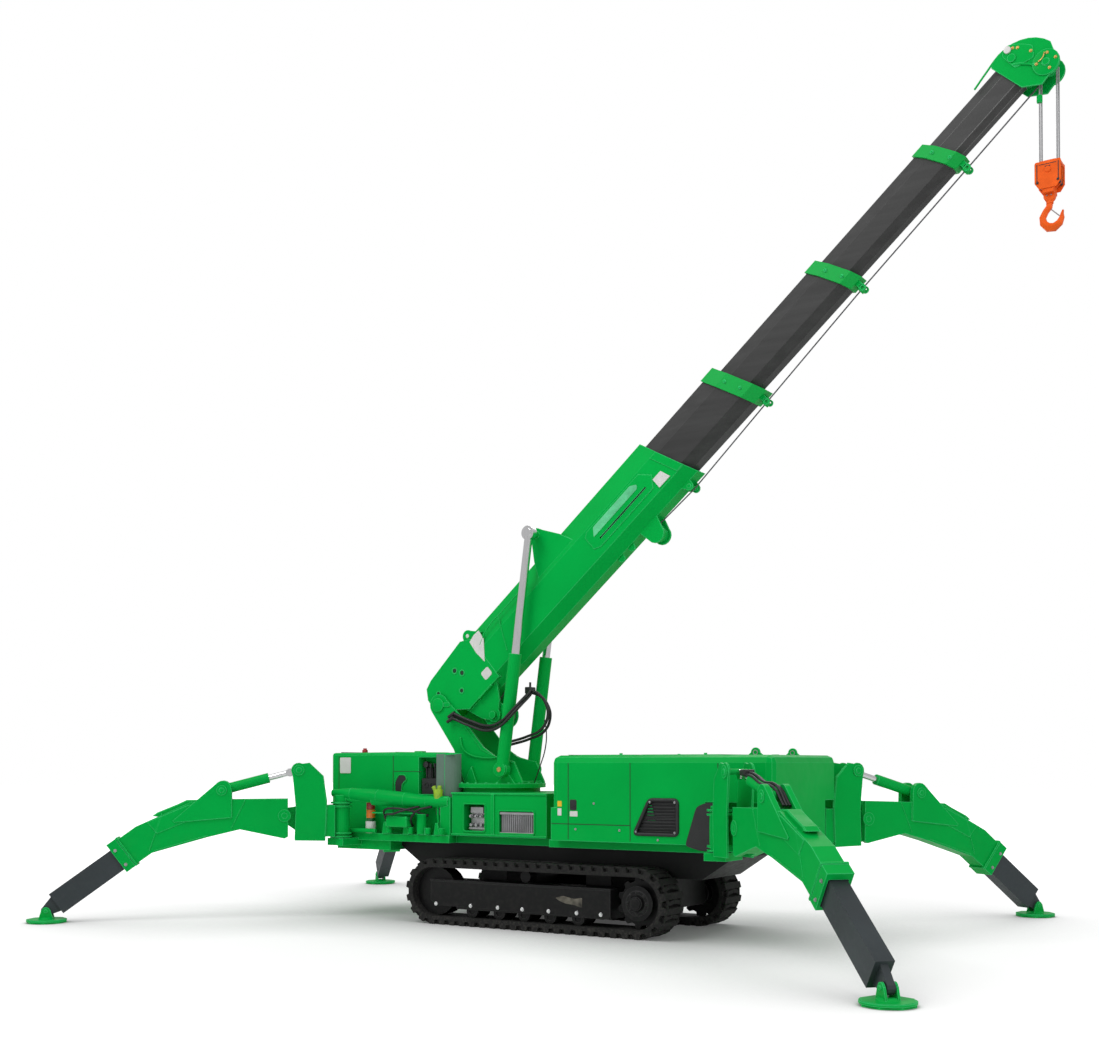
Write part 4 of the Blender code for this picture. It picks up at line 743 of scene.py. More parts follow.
def dress_service():
    """Rims round the two service recesses, unions, the brace's housing and small gear beside the posts."""
    low, high = box_of("turntable_base")
    face = low.y
    items = [block((low.x - 0.006, face - 0.01, high.z - 0.014),
                   (high.x + 0.004, face + 0.01, high.z + 0.001)),
             block((low.x - 0.006, face - 0.01, low.z + 0.002), (high.x + 0.004, face + 0.01, low.z + 0.02))]
    for left, right, bottom, top in ((-0.745, -0.53, 0.738, 0.962), (-0.4, -0.06, 0.728, 0.912)):
        rim = softened([(left, bottom), (right, bottom), (right, top), (left, top)], 0.02)
        items.append(hose([(x, face - 0.001, z) for x, z in (*rim, rim[0])], 0.008, curved=False))
    items.append(block((-0.47, face - 0.012, 0.72), (-0.44, face + 0.005, high.z - 0.01)))
    for side in (-1, 1):
        line = [(-1.98, 1.035), (-1.8, 1.03), (-1.55, 1.01), (-1.3, 0.985), (-1.1, 0.968), (-1.03, 0.962)]
        for (x0, z0), (x1, z1), first, last in zip(
                line, line[1:], (0.03, 0.05, 0.06, 0.062, 0.052), (0.05, 0.06, 0.062, 0.052, 0.026)):
            y0, y1 = [side * (0.455 + 0.175 * (-1.0 - x) / 0.95) for x in (x0, x1)]
            items.append(bar((x0, y0, z0), (x1, y1, z1), first, tip=last, edge=0.001))
    items.append(block((-1.62, -0.56, 0.868), (-1.16, -0.5, 0.88)))
    items.append(block((-1.46, -0.575, 0.76), (-1.24, -0.47, 0.85), edge=0.012))
    items.append(bar((-1.14, -0.5, 0.705), (-1.14, -0.5, 0.87), 0.04))
    items.append(bar((-2.1, -0.53, 0.722), (-1.6, -0.53, 0.722), 0.018))
    for x in (-1.52, -1.3, -1.12, -0.98):
        items.append(plate([(x - 0.03, 0.7), (x + 0.03, 0.7), (x + 0.012, 0.8), (x - 0.012, 0.8)], -0.512,
                           -0.5))
        items.append(bar((x + 0.06, -0.52, 0.706), (x + 0.06, -0.52, 0.76), 0.022))
    gather("deck_service_brackets", items, "green")
    unions = [cross_bar(-0.69 + 0.05 * i, 0.86, -0.432, -0.448, 0.011, sides=6) for i in range(3)]
    unions += [cross_bar(-0.69 + 0.05 * i, 0.79, -0.4, -0.44, 0.013, sides=12) for i in range(3)]
    unions += [block((-0.7, -0.425, 0.885), (-0.575, -0.398, 0.935))]
    unions += [block((-0.72, -0.425, 0.752), (-0.56, -0.402, 0.772))]
    gather("valve_unions", unions, "steel")
    tanks = [block((-0.392, -0.46, 0.88), (-0.068, -0.438, 0.9)),
             block((-0.392, -0.46, 0.73), (-0.068, -0.438, 0.742))]
    gather("cooler_tanks", tanks, "steel")
    lines = [
        [(-1.52, -0.5, 0.83), (-1.46, -0.585, 0.9), (-1.36, -0.59, 0.915), (-1.22, -0.56, 0.9),
         (-1.1, -0.48, 0.86)],
        [(-1.5, -0.5, 0.8), (-1.44, -0.59, 0.86), (-1.36, -0.6, 0.87), (-1.26, -0.585, 0.9),
         (-1.16, -0.52, 0.93)],
        [(-1.24, -0.5, 0.78), (-1.2, -0.56, 0.84), (-1.13, -0.57, 0.9), (-1.05, -0.5, 0.93)],
    ]
    gather("deck_hoses", [hose(line, 0.009) for line in lines], "hose")
    bits = [bar(Vector(line[0]) + Vector((0, 0.01, -0.01)), Vector(line[0]) + Vector((0, -0.012, 0.014)),
                0.012, sides=6)
            for line in lines]
    bits += [bar(Vector(line[-1]) + Vector((-0.01, 0, 0)), Vector(line[-1]) + Vector((0.012, 0, 0)), 0.012,
                 sides=6)
             for line in lines]
    gather("deck_hose_unions", bits, "dark")


# Crawler

TRACK_LOW, TRACK_HIGH = box_of("near_track")
TRACK_RADIUS = (TRACK_HIGH.z - TRACK_LOW.z) / 2
WHEEL_X = TRACK_HIGH.x - TRACK_RADIUS
LUGS = 52
BELT_RADIUS = 0.224


def track_place(run, rise):
    """A point and its outward way, run metres along the belt's outside."""
    straight, bend = 2 * WHEEL_X, pi * BELT_RADIUS
    run %= 2 * (straight + bend)
    middle = TRACK_RADIUS
    if run < straight:
        return Vector((-WHEEL_X + run, 0, middle - BELT_RADIUS - rise)), 0.0
    run -= straight
    if run < bend:
        angle = run / BELT_RADIUS
        reach = BELT_RADIUS + rise
        return Vector((WHEEL_X + reach * sin(angle), 0, middle - reach * cos(angle))), angle
    run -= bend
    if run < straight:
        return Vector((WHEEL_X - run, 0, middle + BELT_RADIUS + rise)), pi
    run -= straight
    angle = pi + run / BELT_RADIUS
    reach = BELT_RADIUS + rise
    return Vector((-WHEEL_X + reach * sin(angle), 0, middle - reach * cos(angle))), angle


def dress_tracks():
    loop = 2 * (2 * WHEEL_X + pi * BELT_RADIUS)
    pitch = loop / LUGS
    rise = TRACK_RADIUS - BELT_RADIUS - 0.004
    lug = plate([(-0.02, -0.115), (0.012, -0.115), (0.03, 0.0), (-0.004, 0.0)], -rise, 0.006, plane="XY",
                edge=0.003)
    for side_name, side in SIDES:
        low, high = box_of(side_name + "_track")
        middle = (low.y + high.y) / 2
        copies, rims = [], []
        for index in range(LUGS):
            point, angle = track_place((index + 0.5) * pitch, 0.0)
            point.y = middle
            for mirror in (False, True):
                mesh = lug.data.copy()
                if mirror:
                    mesh.transform(Matrix.Scale(-1, 4, (0, 1, 0)))
                    mesh.flip_normals()
                mesh.transform(Matrix.Translation(point) @ Matrix.Rotation(-angle, 4, "Y"))
                copies.append(stand(mesh))
        gather(side_name + "_tread", copies, "rubber")
        frame_low, frame_high = box_of(side_name + "_track_frame")
        face = frame_high.y if side > 0 else frame_low.y
        items = []
        flange = span(side, -0.03, 0.008, face)
        items.append(block((-0.96, flange[0], 0.343), (0.715, flange[1], 0.357)))
        skin = span(side, -0.002, 0.005, face)
        items.append(plate([(-0.9, 0.15), (0.69, 0.13), (0.71, 0.15), (0.71, 0.345), (-0.955, 0.345),
                            (-0.955, 0.19)], *skin))
        for inner_edge in (-0.104, 0.104):
            rim = [track_place(loop * k / 96,
                               rise - 0.006)[0] + ACROSS * (middle + inner_edge) for k in range(97)]
            rims.append(hose(rim, 0.013, curved=False, sides=2))
        hub = Vector((WHEEL_X, side * 0.5, TRACK_RADIUS))
        items.append(bar(hub + ACROSS * side * 0.094, hub + ACROSS * side * 0.101, 0.128, sides=36))
        items.append(ring(hub + ACROSS * side * 0.098, ACROSS, 0.093, 0.07, 0.012))
        items.append(bar(hub + ACROSS * side * 0.12, hub + ACROSS * side * 0.132, 0.04))
        for x in (-0.56, -0.3, -0.07, 0.17, 0.42):
            items.append(ring((x, side * 0.592, 0.121), ACROSS, 0.054, 0.03, 0.01))
        items += spread(bolt(0.009), [((hub.x + 0.078 * cos(k * pi / 4), hub.y + side * 0.104,
                                        hub.z + 0.078 * sin(k * pi / 4)), (0, side, 0)) for k in range(8)])
        gather(side_name + "_track_frame_trim", items, "black")
        gather(side_name + "_track_rims", rims, "rubber")
        places = [((x, face + side * 0.005, 0.163), (0, side, 0))
                  for x in (-0.9, -0.56, -0.3, -0.07, 0.17, 0.42, 0.63)]
        gather(side_name + "_track_bolts", spread(bolt(0.012), places), "chrome")
        smear = span(side, 0.004, 0.0062, face)
        worn = [(0.23, 0.268), (0.3, 0.286), (0.4, 0.268), (0.47, 0.28), (0.465, 0.204), (0.4, 0.222),
                (0.32, 0.23),
                (0.26, 0.25)]
        gather(side_name + "_worn_paint", [plate(softened(worn, 0.012), *smear, edge=0)], "worn")
    bpy.data.objects.remove(lug)


# Turret and its hoses

def dress_turret():
    centre = TURRET.translation
    top = 1.12
    places = [((centre.x + 0.352 * cos(k * pi / 12), 0.352 * sin(k * pi / 12), top),
               (0, 0, 1)) for k in range(24)]
    gather("turret_ring_bolts", spread(bolt(0.01), places), "green", "turret")
    items, brass = [], []
    foot = joint_place("boom_luff")
    for side_name, side in SIDES:
        items.append(cross_bar(foot.x, foot.z, side * 0.168, side * 0.186, 0.058))
        keeper = span(side, 0.169, 0.177)
        items.append(block((foot.x + 0.03, keeper[0], foot.z - 0.018),
                           (foot.x + 0.12, keeper[1], foot.z + 0.018)))
        pin = joint_place(side_name + "_luff_barrel_pin")
        items.append(cross_bar(pin.x, pin.z, side * 0.257, side * 0.272, 0.058))
        brass.append(cross_bar(pin.x, pin.z, side * 0.271, side * 0.279, 0.022, sides=6))
        inner = side * 0.169
        weld = [(foot.x + 0.15, inner, foot.z - 0.12), (-0.97, inner, 1.62), (-0.78, inner, 1.4),
                (-0.62, inner, 1.33),
                (-0.46, inner, 1.29)]
        items.append(hose(weld, 0.006, curved=False, sides=1))
        rib = span(side, 0.165, 0.2)
        items.append(plate([(-0.94, 1.118), (-0.8, 1.118), (-0.86, 1.26)], *rib))
        items.append(plate([(-0.62, 1.118), (-0.42, 1.118), (-0.5, 1.215)], *rib))
    gather("turret_trim", items, "green", "turret")
    gather("turret_pin_centres", brass, "brass", "turret")


def dress_boom_hoses(sizes):
    """Pressure hoses from the turret's rear cheek, past the near cylinder, to a clamp and back in a loop."""
    radius = sizes.hose / 2
    lines = []
    route = ((-1.05, -0.198, 1.7), (-0.863, -0.205, 1.632), (-0.666, -0.235, 1.588),
             (-0.495, -0.285, 1.622), (-0.384, -0.305, 1.7), (-0.32, -0.26, 1.785), (-0.319, -0.17, 1.842),
             (-0.335, -0.1, 1.88))
    for shift, drop in ((0.0, 0.004), (0.018, -0.018), (-0.016, -0.036)):
        lines.append([(x, y + shift, z + drop) for x, y, z in route])
    piece = gather("boom_supply_hoses", [hose(line, radius) for line in lines], "hose", None)
    stretch(piece)
    loops = []
    for across, drop in ((0.0, 0.0), (0.036, -0.02)):
        loops.append([(x, y + across, z + drop) for x, y, z in (
            (-0.345, -0.1, 1.88), (-0.27, -0.09, 1.85), (-0.2, -0.08, 1.765), (-0.19, -0.07, 1.67),
            (-0.25, -0.065, 1.565), (-0.39, -0.065, 1.505), (-0.6, -0.06, 1.455))])
    piece = gather("boom_loop_hoses", [hose(line, radius) for line in loops], "hose", None)
    stretch(piece)
    clamp = [block((-0.375, -0.13, 1.85), (-0.325, -0.04, 1.905), edge=0.006),
             bar((-0.35, -0.085, 1.895), (-0.35, -0.085, 1.945), 0.009)]
    gather("hose_clamp", clamp, "dark", "boom_base")
    cable = [(-0.24, -0.04, 1.64), (-0.235, -0.02, 1.54), (-0.26, 0.0, 1.4), (-0.31, 0.0, 1.26),
             (-0.365, 0.0, 1.125)]
    piece = gather("turret_cable", [hose(cable, radius * 0.42)], "hose", None)
    stretch(piece)
    ends = [bar(Vector(line[0]) + Vector((-0.045, 0.0, -0.035)), Vector(line[0]) + Vector((0.02, 0, 0.004)),
                radius * 1.3,
                sides=12) for line in lines]
    gather("hose_ends", ends, "dark", "turret")
    small = [(-0.985, -0.176, 1.5), (-0.96, -0.185, 1.42), (-0.9, -0.185, 1.365), (-0.78, -0.182, 1.335),
             (-0.68, -0.18, 1.33), (-0.585, -0.178, 1.338)]
    gather("turret_chain", [hose(small, 0.007)], "green", "turret")


# Boom

def dress_boom_base():
    items, holes, pale = [], [], []
    half = BASE_HALF_WIDTH
    for side in (-1, 1):
        face = span(side, half - 0.002, half + 0.006)
        panel = [(1.92, 0.055), (1.96, 0.085), (2.58, 0.085), (2.66, -0.01), (2.6, -0.1), (1.98, -0.1),
                 (1.92, -0.07)]
        items.append(plate([(x, z - 0.03) for x, z in panel], *face, BOOM, edge=0.004))
        face = span(side, half + 0.001, half + 0.008)
        for x, z, radius in ((0.3, 0.115, 0.02), (0.345, 0.05, 0.02), (0.245, -0.06, 0.018),
                             (0.05, 0.085, 0.016),
                             (0.055, -0.052, 0.022)):
            items.append(ring((x, side * (half + 0.003), z), ACROSS, radius + 0.008, radius, 0.008, BOOM,
                              sides=16))
            # The holes are dark discs of painted shadow.
            holes.append(cross_bar(x, z, side * (half - 0.004), side * (half + 0.0035), radius, BOOM,
                                   sides=16))
        lug = [(0.46, 0.19), (0.7, 0.19), *arc((0.57, 0.262), 0.052, 20, 170, 8)]
        items.append(plate(lug, *span(side, 0.092, 0.11), BOOM))
        for seam in (((0.63, 0.1), (0.76, 0.15), (0.98, 0.155), (1.3, 0.15)),
                     ((0.92, 0.15), (0.86, 0.02), (0.8, -0.12))):
            items.append(hose([(x, side * (half + 0.001), z) for x, z in seam], 0.005, BOOM, sides=1))
    # Blank label panels in a lighter green: partly the label plate, partly a painted sheen on the boom
    # base's side.
    for side in (-1, 1):
        face = span(side, half + 0.005, half + 0.0095)
        pale += [plate(softened(shape, 0.012), *face, BOOM, edge=0) for shape in (
            [(1.985, -0.028), (2.03, 0.036), (2.47, 0.036), (2.52, 0.0), (2.5, -0.028)],
            [(2.02, -0.068), (2.56, -0.068), (2.56, -0.082), (2.02, -0.082)])]
    gather("boom_base_blank_panels", pale, "pale", "boom_base")
    items.append(block((0.33, -half - 0.012, -0.236), (0.5, half + 0.012, -0.222), BOOM))
    for x in (2.02, 2.14):
        items.append(plate([(x - 0.04, -0.24), (x + 0.04, -0.24), *arc((x, -0.285), 0.03, 0, -180, 6)],
                           -0.05, -0.036, BOOM))
    for side in (-1, 1):
        face = span(side, 0.05, 0.066)
        items.append(plate([(2.26, -0.23), (2.47, -0.23), *arc((2.36, -0.36), 0.075, 0, -180, 8)], *face,
                           BOOM))
        items.append(plate([(2.7, -0.22), (2.84, -0.22), *arc((2.8, -0.3), 0.034, 0, -180, 6)], *face, BOOM))
    items.append(cross_bar(2.8, -0.3, -0.07, 0.07, 0.016, BOOM))
    for side in (-1, 1):
        face = span(side, half - 0.002, half + 0.006)
        edge_points = [(BASE_END - 0.07 - SLANT_RISE * 0.07, 0.07), (BASE_END - SLANT_RISE * 0.07, 0.07),
                       (BASE_END + SLANT_RISE * 0.18, -0.18), (BASE_END - 0.07 + SLANT_RISE * 0.18, -0.18)]
        items.append(plate(edge_points, *face, BOOM))
    gather("boom_base_trim", items, "green", "boom_base")
    eyes = [cross_bar(0.57, 0.264, side * 0.091, side * 0.1115, 0.017, BOOM) for side in (-1, 1)]
    gather("boom_base_eyes", eyes, "white", "boom_base")
    gather("boom_base_holes", holes, "seam", "boom_base")
    face = (-half - 0.0045, -half + 0.002)
    plates = [plate([(2.64, -0.165), (2.76, -0.165), (2.73, -0.075), (2.64, -0.075)], -half - 0.008, -half,
                    BOOM, edge=0),
              plate([(0.575, -0.04), (0.69, 0.11), (0.7, 0.2), (0.64, 0.205), (0.57, 0.19), (0.56, 0.08)],
                    *face,
                    BOOM, edge=0),
              plate(rounded((0.48, -0.165), (0.57, -0.085), 0.018), *face, BOOM, edge=0)]
    gather("boom_base_plates", plates, "white", "boom_base")


def dress_sections():
    for body, tip, length, half_width, half_height in COLLARS:
        items, bolts_here = [], []
        for side in (-1, 1):
            for z in (0.03, -0.1):
                x = tip - length / 2 - SLANT_RISE * z
                bolts_here.append(((x, side * half_width, z), (0, side, 0)))
        gather(body + "_collar_bolts", spread(bolt(0.011), bolts_here, BOOM), "green", body)
        for side in (-1, 1):
            z = -half_height - 0.018
            x = tip - length / 2 - SLANT_RISE * z
            items.append(block((x - 0.02, side * 0.03 - 0.007, z - 0.02),
                               (x + 0.02, side * 0.03 + 0.007, z + 0.03), BOOM))
            items.append(ring((x, side * 0.03, z - 0.036), ACROSS, 0.025, 0.012, 0.014, BOOM))
        gather(body + "_rope_lugs", items, "green", body)


def dress_ropes(sizes):
    """The hoist rope from the winch under the boom to the head, in lengths from one guide to the next."""
    radius = sizes.rope / 2
    bodies = ("boom_base", "section_2", "section_3", "section_4", "section_5")
    stations = [ROLLER, *ROPE_GUIDES, (HEAD_TIP + 0.1, -0.185)]
    for first, second, body_a, body_b in zip(stations, stations[1:], bodies, bodies[1:]):
        a, b = Vector((first[0], 0, first[1])), Vector((second[0], 0, second[1]))
        line = [a.lerp(b, i / 12) for i in range(13)]
        piece = gather("rope_to_" + body_b, [hose(line, radius, BOOM, curved=False, sides=2)],
                       "rope", None)
        stretch(piece)
    winch_x, winch_z, drum = WINCH
    belly = -0.25
    lead = [(winch_x + 0.02, 0.0, winch_z + drum + radius), (0.62, 0.0, belly), (2.23, 0.0, belly),
            (BASE_SHEAVE[0], 0.0, BASE_SHEAVE[1] + BASE_SHEAVE[2] + radius), (ROLLER[0], 0.0, ROLLER[1])]
    gather("rope_from_winch", [hose(lead, radius, BOOM, curved=False, sides=2)], "rope", "boom_base")
    turns = []
    steps, count, width = 14, 11, 0.066
    for i in range(steps * count + 1):
        angle = 2 * pi * i / steps
        reach = drum + radius
        turns.append((winch_x + reach * cos(angle), -width + 2 * width * i / (steps * count),
                      winch_z + reach * sin(angle)))
    gather("drum_rope", [hose(turns, radius, BOOM, curved=False, sides=1)], "rope", "winch")


def dress_head():
    items = []
    pin_x, pin_z = HEAD_PIN
    for side in (-1, 1):
        outer = 0.084
        items.append(cross_bar(pin_x, pin_z, side * outer, side * (outer + 0.01), 0.086, BOOM, sides=36))
        items.append(cross_bar(pin_x, pin_z, side * (outer + 0.008), side * (outer + 0.016), 0.024, BOOM))
        face = span(side, outer - 0.004, outer + 0.005)
        cheek = [(6.3, 0.12), (6.33, 0.15), (6.375, 0.15), (6.43, 0.085), (6.47, 0.01), (6.42, -0.06),
                 (6.3, -0.01)]
        items.append(plate(softened(cheek, 0.02), *face, BOOM))
        items.append(hose([(6.305, side * (outer + 0.004), 0.02), (6.35, side * (outer + 0.006), -0.035),
                           (6.385, side * (outer + 0.006), -0.1)], 0.007, BOOM))
    gather("head_trim", items, "green", "section_5")
    caps = [cross_bar(6.35, 0.122, side * 0.088, side * 0.102, 0.024, BOOM) for side in (-1, 1)]
    gather("head_roller_caps", caps, "white", "section_5")
    places = [((x, side * 0.094, z), (0, side, 0)) for side in (-1, 1)
              for x, z in ((6.486, -0.112), (6.497, -0.18), (6.428, -0.2), (6.395, -0.112))]
    places += [((x, side * 0.089, z), (0, side, 0)) for side in (-1, 1)
               for x, z in ((6.435, -0.01), (6.4, 0.08), (6.38, 0.105))]
    gather("head_bolts", spread(bolt(0.008), places, BOOM), "brass", "section_5")
    handles = [hose([(6.412, side * 0.098, -0.112), (6.44, side * 0.104, -0.118),
                     (6.476, side * 0.098, -0.098)], 0.004, BOOM)
               for side in (-1, 1)]
    gather("head_handles", handles, "brass", "section_5")
    line = [hose([(6.345, -0.075, 0.14), (6.29, -0.078, 0.15), (6.18, -0.078, 0.138), (6.05, -0.07, 0.122)],
                 0.007, BOOM)]
    gather("head_top_line", line, "green", "section_5")


# Hook

def dress_falls(sizes):
    """The falls between head and hook block, in straight runs joined by bows."""
    top = joint_place("hook_hang")
    route = [(-FALL_X, -FALL_Y, 0.0)]
    for side, begin, end, height, turn in ((-1, -1, -1, -FALL_DROP, -1), (1, -1, 1, 0.0, 1),
                                           (-1, 1, 1, -FALL_DROP, -1)):
        for i in range(FALL_STEPS + 1):
            angle = pi * i / FALL_STEPS
            across = FALL_Y * (begin + (end - begin) * i / FALL_STEPS)
            route.append((side * FALL_X * cos(angle), across, height + turn * FALL_X * sin(angle)))
    route.append((FALL_X, FALL_Y, 0.0))
    line = [top + Vector(point) for point in route]
    piece = gather("hoist_falls", [hose(line, sizes.rope / 2, curved=False, sides=2)], "fall", None)
    stretch(piece)
    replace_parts(piece, "hoist_rope")


def dress_hook():
    low, high = box_of("hook_block")
    centre = (low + high) / 2
    middle = Matrix.Translation((centre.x, 0, high.z - 0.062))
    cheek = [(-0.078, 0.06), (0.078, 0.06), (0.084, 0.05), (0.084, -0.08), (0.056, -0.122), (-0.056, -0.122),
             (-0.084, -0.08), (-0.084, 0.05)]
    items = [plate(cheek, *span(side, 0.0565, 0.061), middle, edge=0.0015) for side in (-1, 1)]
    items += [bar((-0.05, side * 0.045, 0.06), (0.05, side * 0.045, 0.06), 0.008, middle)
              for side in (-1, 1)]
    items += [block((x - 0.01, -0.06, 0.03), (x + 0.01, 0.06, 0.052), middle) for x in (-0.072, 0.072)]
    knuckle = Matrix.Translation((centre.x, 0, low.z))
    items.append(cross_bar(0, -0.012, -0.024, 0.024, 0.038, knuckle, sides=24, edge=0.006))
    gather("hook_block_cheeks", items, "orange", "block")
    dark = [block((x - 0.003, -0.0625, -0.085), (x + 0.003, 0.0625, 0.045), middle,
                  edge=0.001) for x in (-0.068, 0.068)]
    dark += [cross_bar(x, -0.078, -0.066, 0.066, 0.009, middle, sides=12) for x in (-0.066, 0.066)]
    dark += [block((-0.055, -0.0622, 0.036), (0.055, 0.0622, 0.041), middle, edge=0.001)]
    gather("hook_block_slots", dark, "dark", "block")
    marks = [plate([(-0.02, 0.026), (0.02, 0.026), (0.0, 0.0)], *span(side, 0.0605, 0.0622), middle, edge=0)
             for side in (-1, 1)]
    gather("hook_block_marks", marks, "dark", "block")
    pins = [cross_bar(x, -0.01, -0.03, 0.03, 0.0055, knuckle, sides=10) for x in (-0.014, 0.014)]
    gather("hook_knuckle_pins", pins, "steel", "block")
    bottom = box_of("hook")[0].z
    latch = [hose([(centre.x + 0.01, 0.0, bottom + 0.145), (centre.x + 0.072, 0.0, bottom + 0.082)], 0.004,
                  curved=False)]
    gather("hook_latch", latch, "steel", "hook")
    rest = high.z + HOIST_LIFT + 0.006
    weight = [bar((centre.x - FALL_X, -FALL_Y, rest), (centre.x - FALL_X, -FALL_Y, rest + 0.05), 0.019,
                  edge=0.006)]
    gather("fall_weight", weight, "green", "falls")


# Outriggers

def dress_leg(name):
    frames = leg_axes(name)
    swing, arm, slide = frames["swing"], frames["arm"], frames["slide"]
    trim = []
    for side in (-1, 1):
        outer = side * BRACKET_HALF
        x, z = BRACKET_PIN
        trim.append(ring((x, outer + side * 0.004, z), ACROSS, 0.044, 0.022, 0.01, swing))
        trim.append(cross_bar(x, z, outer - side * 0.002, outer + side * 0.014, 0.022, swing))
        trim.append(hose([(0.14, outer, 0.66), (0.128, outer, 0.95), (0.155, outer, 1.175),
                          (0.265, outer, 1.285)],
                         0.004, swing, curved=False, sides=1))
    for z in (0.672, 0.702, 0.925, 0.955):
        trim.append(ring((0, 0, z), UP, 0.088, 0.0705, 0.014, swing))
    gather(name + "_bracket_trim", trim, "green", name + "_bracket")
    trim = []
    wide = LEG_WIDTH / 2 + 0.028
    deep = LEG_DEPTH / 2 + 0.03
    for side in (-1, 1):
        face = side * ARM_HALF
        trim.append(ring((0, face + side * 0.003, 0), ACROSS, 0.052, 0.024, 0.008, arm))
        trim.append(cross_bar(0, 0, face - side * 0.002, face + side * 0.006, 0.024, arm))
        trim.append(ring((EAR_PIN[0], side * 0.093, EAR_PIN[1]), ACROSS, 0.042, 0.02, 0.01, arm))
        trim.append(cross_bar(EAR_PIN[0], EAR_PIN[1], side * 0.086, side * 0.102, 0.02, arm))
        for x0, z0, x1, z1 in ((0.32, 0.13, 0.43, -0.1), (0.62, -0.155, 1.04, -0.272),
                               (0.98, 0.03, 1.08, -0.27)):
            trim.append(hose([(x0, face, z0), (x1, face, z1)], 0.005, arm, curved=False, sides=1))
        low, high = span(side, ARM_HALF - 0.003, ARM_HALF + 0.006)
        trim.append(plate([(0.6, 0.115), (0.78, 0.095), (1.1, -0.04), (1.02, -0.135), (0.74, -0.02),
                           (0.6, 0.02)],
                          low, high, arm, edge=0.003))
    trim.append(block((-0.105, -wide - 0.004, -deep - 0.004), (-0.088, wide + 0.004, deep + 0.026), slide))
    hump = [(0.66, 0.118), (0.79, 0.118), (0.86, 0.085), (1.02, 0.02), (1.06, -0.01), (0.98, -0.02),
            (0.66, 0.09)]
    trim.append(plate([(x, z + 0.018) for x, z in hump], -0.05, 0.05, arm, edge=0.006))
    gather(name + "_arm_trim", trim, "green", name + "_arm")
    places = [((-0.03, side * wide, z), (0, side, 0)) for side in (-1, 1) for z in (-0.07, 0.07)]
    gather(name + "_arm_bolts", spread(bolt(0.01), places, slide), "steel", name + "_arm")
    if name == "near_front":
        bundle = []
        for across, lift in ((-0.022, 0.0), (0.0, 0.012), (0.022, 0.0)):
            bundle.append(hose([(0.06, across, 0.36 + lift), (0.18, across, 0.345 + lift),
                                (0.33, across, 0.295 + lift),
                                (0.47, across + 0.02, 0.275 + lift),
                                (0.64, across + 0.02, 0.155)], 0.01, arm))
        bundle.append(block((0.0, -0.04, 0.352), (0.09, 0.04, 0.392), arm, edge=0.01))
        piece = gather("near_front_jack_hoses", bundle, "hose", None)
        stretch(piece)
    pad = frames["pad"]
    rims = [ring((0, 0, -PAD_DROP + 0.02), UP, 0.156, 0.125, 0.014, pad, sides=32),
            bar((0, 0, -PAD_DROP + 0.026), (0, 0, -PAD_DROP + 0.045), 0.075, pad, tip=0.052, sides=24)]
    gather(name + "_pad_rim", rims, "green", name + "_pad")


# Stage

def make_stage(stage):
    start()
    bpy.ops.mesh.primitive_plane_add(size=2.0)
    floor = bpy.context.object
    floor.scale = (60, 60, 1)
    settle(Matrix.Translation((0, 0, -0.0005)))
    floor.name = "floor"
    material = bpy.data.materials.new("floor")
    material.use_nodes = True
    tree = material.node_tree
    shader = tree.nodes["Principled BSDF"]
    shader.inputs["Base Color"].default_value = (0.86, 0.86, 0.86, 1.0)
    shader.inputs["Roughness"].default_value = 0.75
    away = node(tree, "ShaderNodeVectorMath", node(tree, "ShaderNodeTexCoord").outputs["Object"],
                operation="LENGTH")
    share = node(tree, "ShaderNodeMath", node(tree, "ShaderNodeLightPath").outputs["Is Camera Ray"],
                 spreaded(tree, away.outputs["Value"], stage.floor_glow, 1.0,
                          (3.5, 9.0)), operation="MULTIPLY")
    # The floor's white glow is dimmed by ambient occlusion near the machine: a painted shadow under and
    # beside it.
    painted_contact_shadow = node(tree, "ShaderNodeAmbientOcclusion", samples=12, Distance=1.5).outputs["AO"]
    glow = node(tree, "ShaderNodeEmission", WHITE,
                spreaded(tree, painted_contact_shadow, 0.15, stage.floor_white, (0.45, 1.0)))
    mix = node(tree, "ShaderNodeMixShader", share.outputs["Value"], shader.outputs["BSDF"],
               glow.outputs["Emission"])
    put(tree, tree.nodes["Material Output"].inputs["Surface"], mix.outputs["Shader"])
    floor.data.materials.append(material)
    make_world(stage)
    for name, place, size, power in (
        ("key", (-3.0, -7.0, 11.0), 6.0, stage.key),
        ("fill", (9.0, -5.0, 7.0), 7.0, stage.fill),
        ("back", (-2.0, 9.0, 9.0), 6.0, stage.back),
    ):
        lamp = bpy.data.lights.new(name, "AREA")
        lamp.shape = "SQUARE"
        lamp.size = size
        lamp.energy = power
        item = stand(lamp)
        item.location = MIDDLE @ Vector(place)
        item.rotation_euler = (Vector((0.5, 0, 1.5)) - Vector(place)).to_track_quat("-Z", "Y").to_euler()
    lens = bpy.data.cameras.new("camera")
    camera = stand(lens)
    camera.location = MIDDLE @ Vector(stage.camera_place)
    camera.rotation_euler = (radians(90) + stage.camera_pitch, 0, stage.camera_heading)
    lens.lens = stage.camera_lens
    lens.sensor_width = 36.0
    lens.shift_y = stage.camera_shift
    lens.clip_start, lens.clip_end = 0.1, 200.0
    bpy.context.scene.camera = camera
    bpy.context.scene.view_settings.view_transform = "Standard"


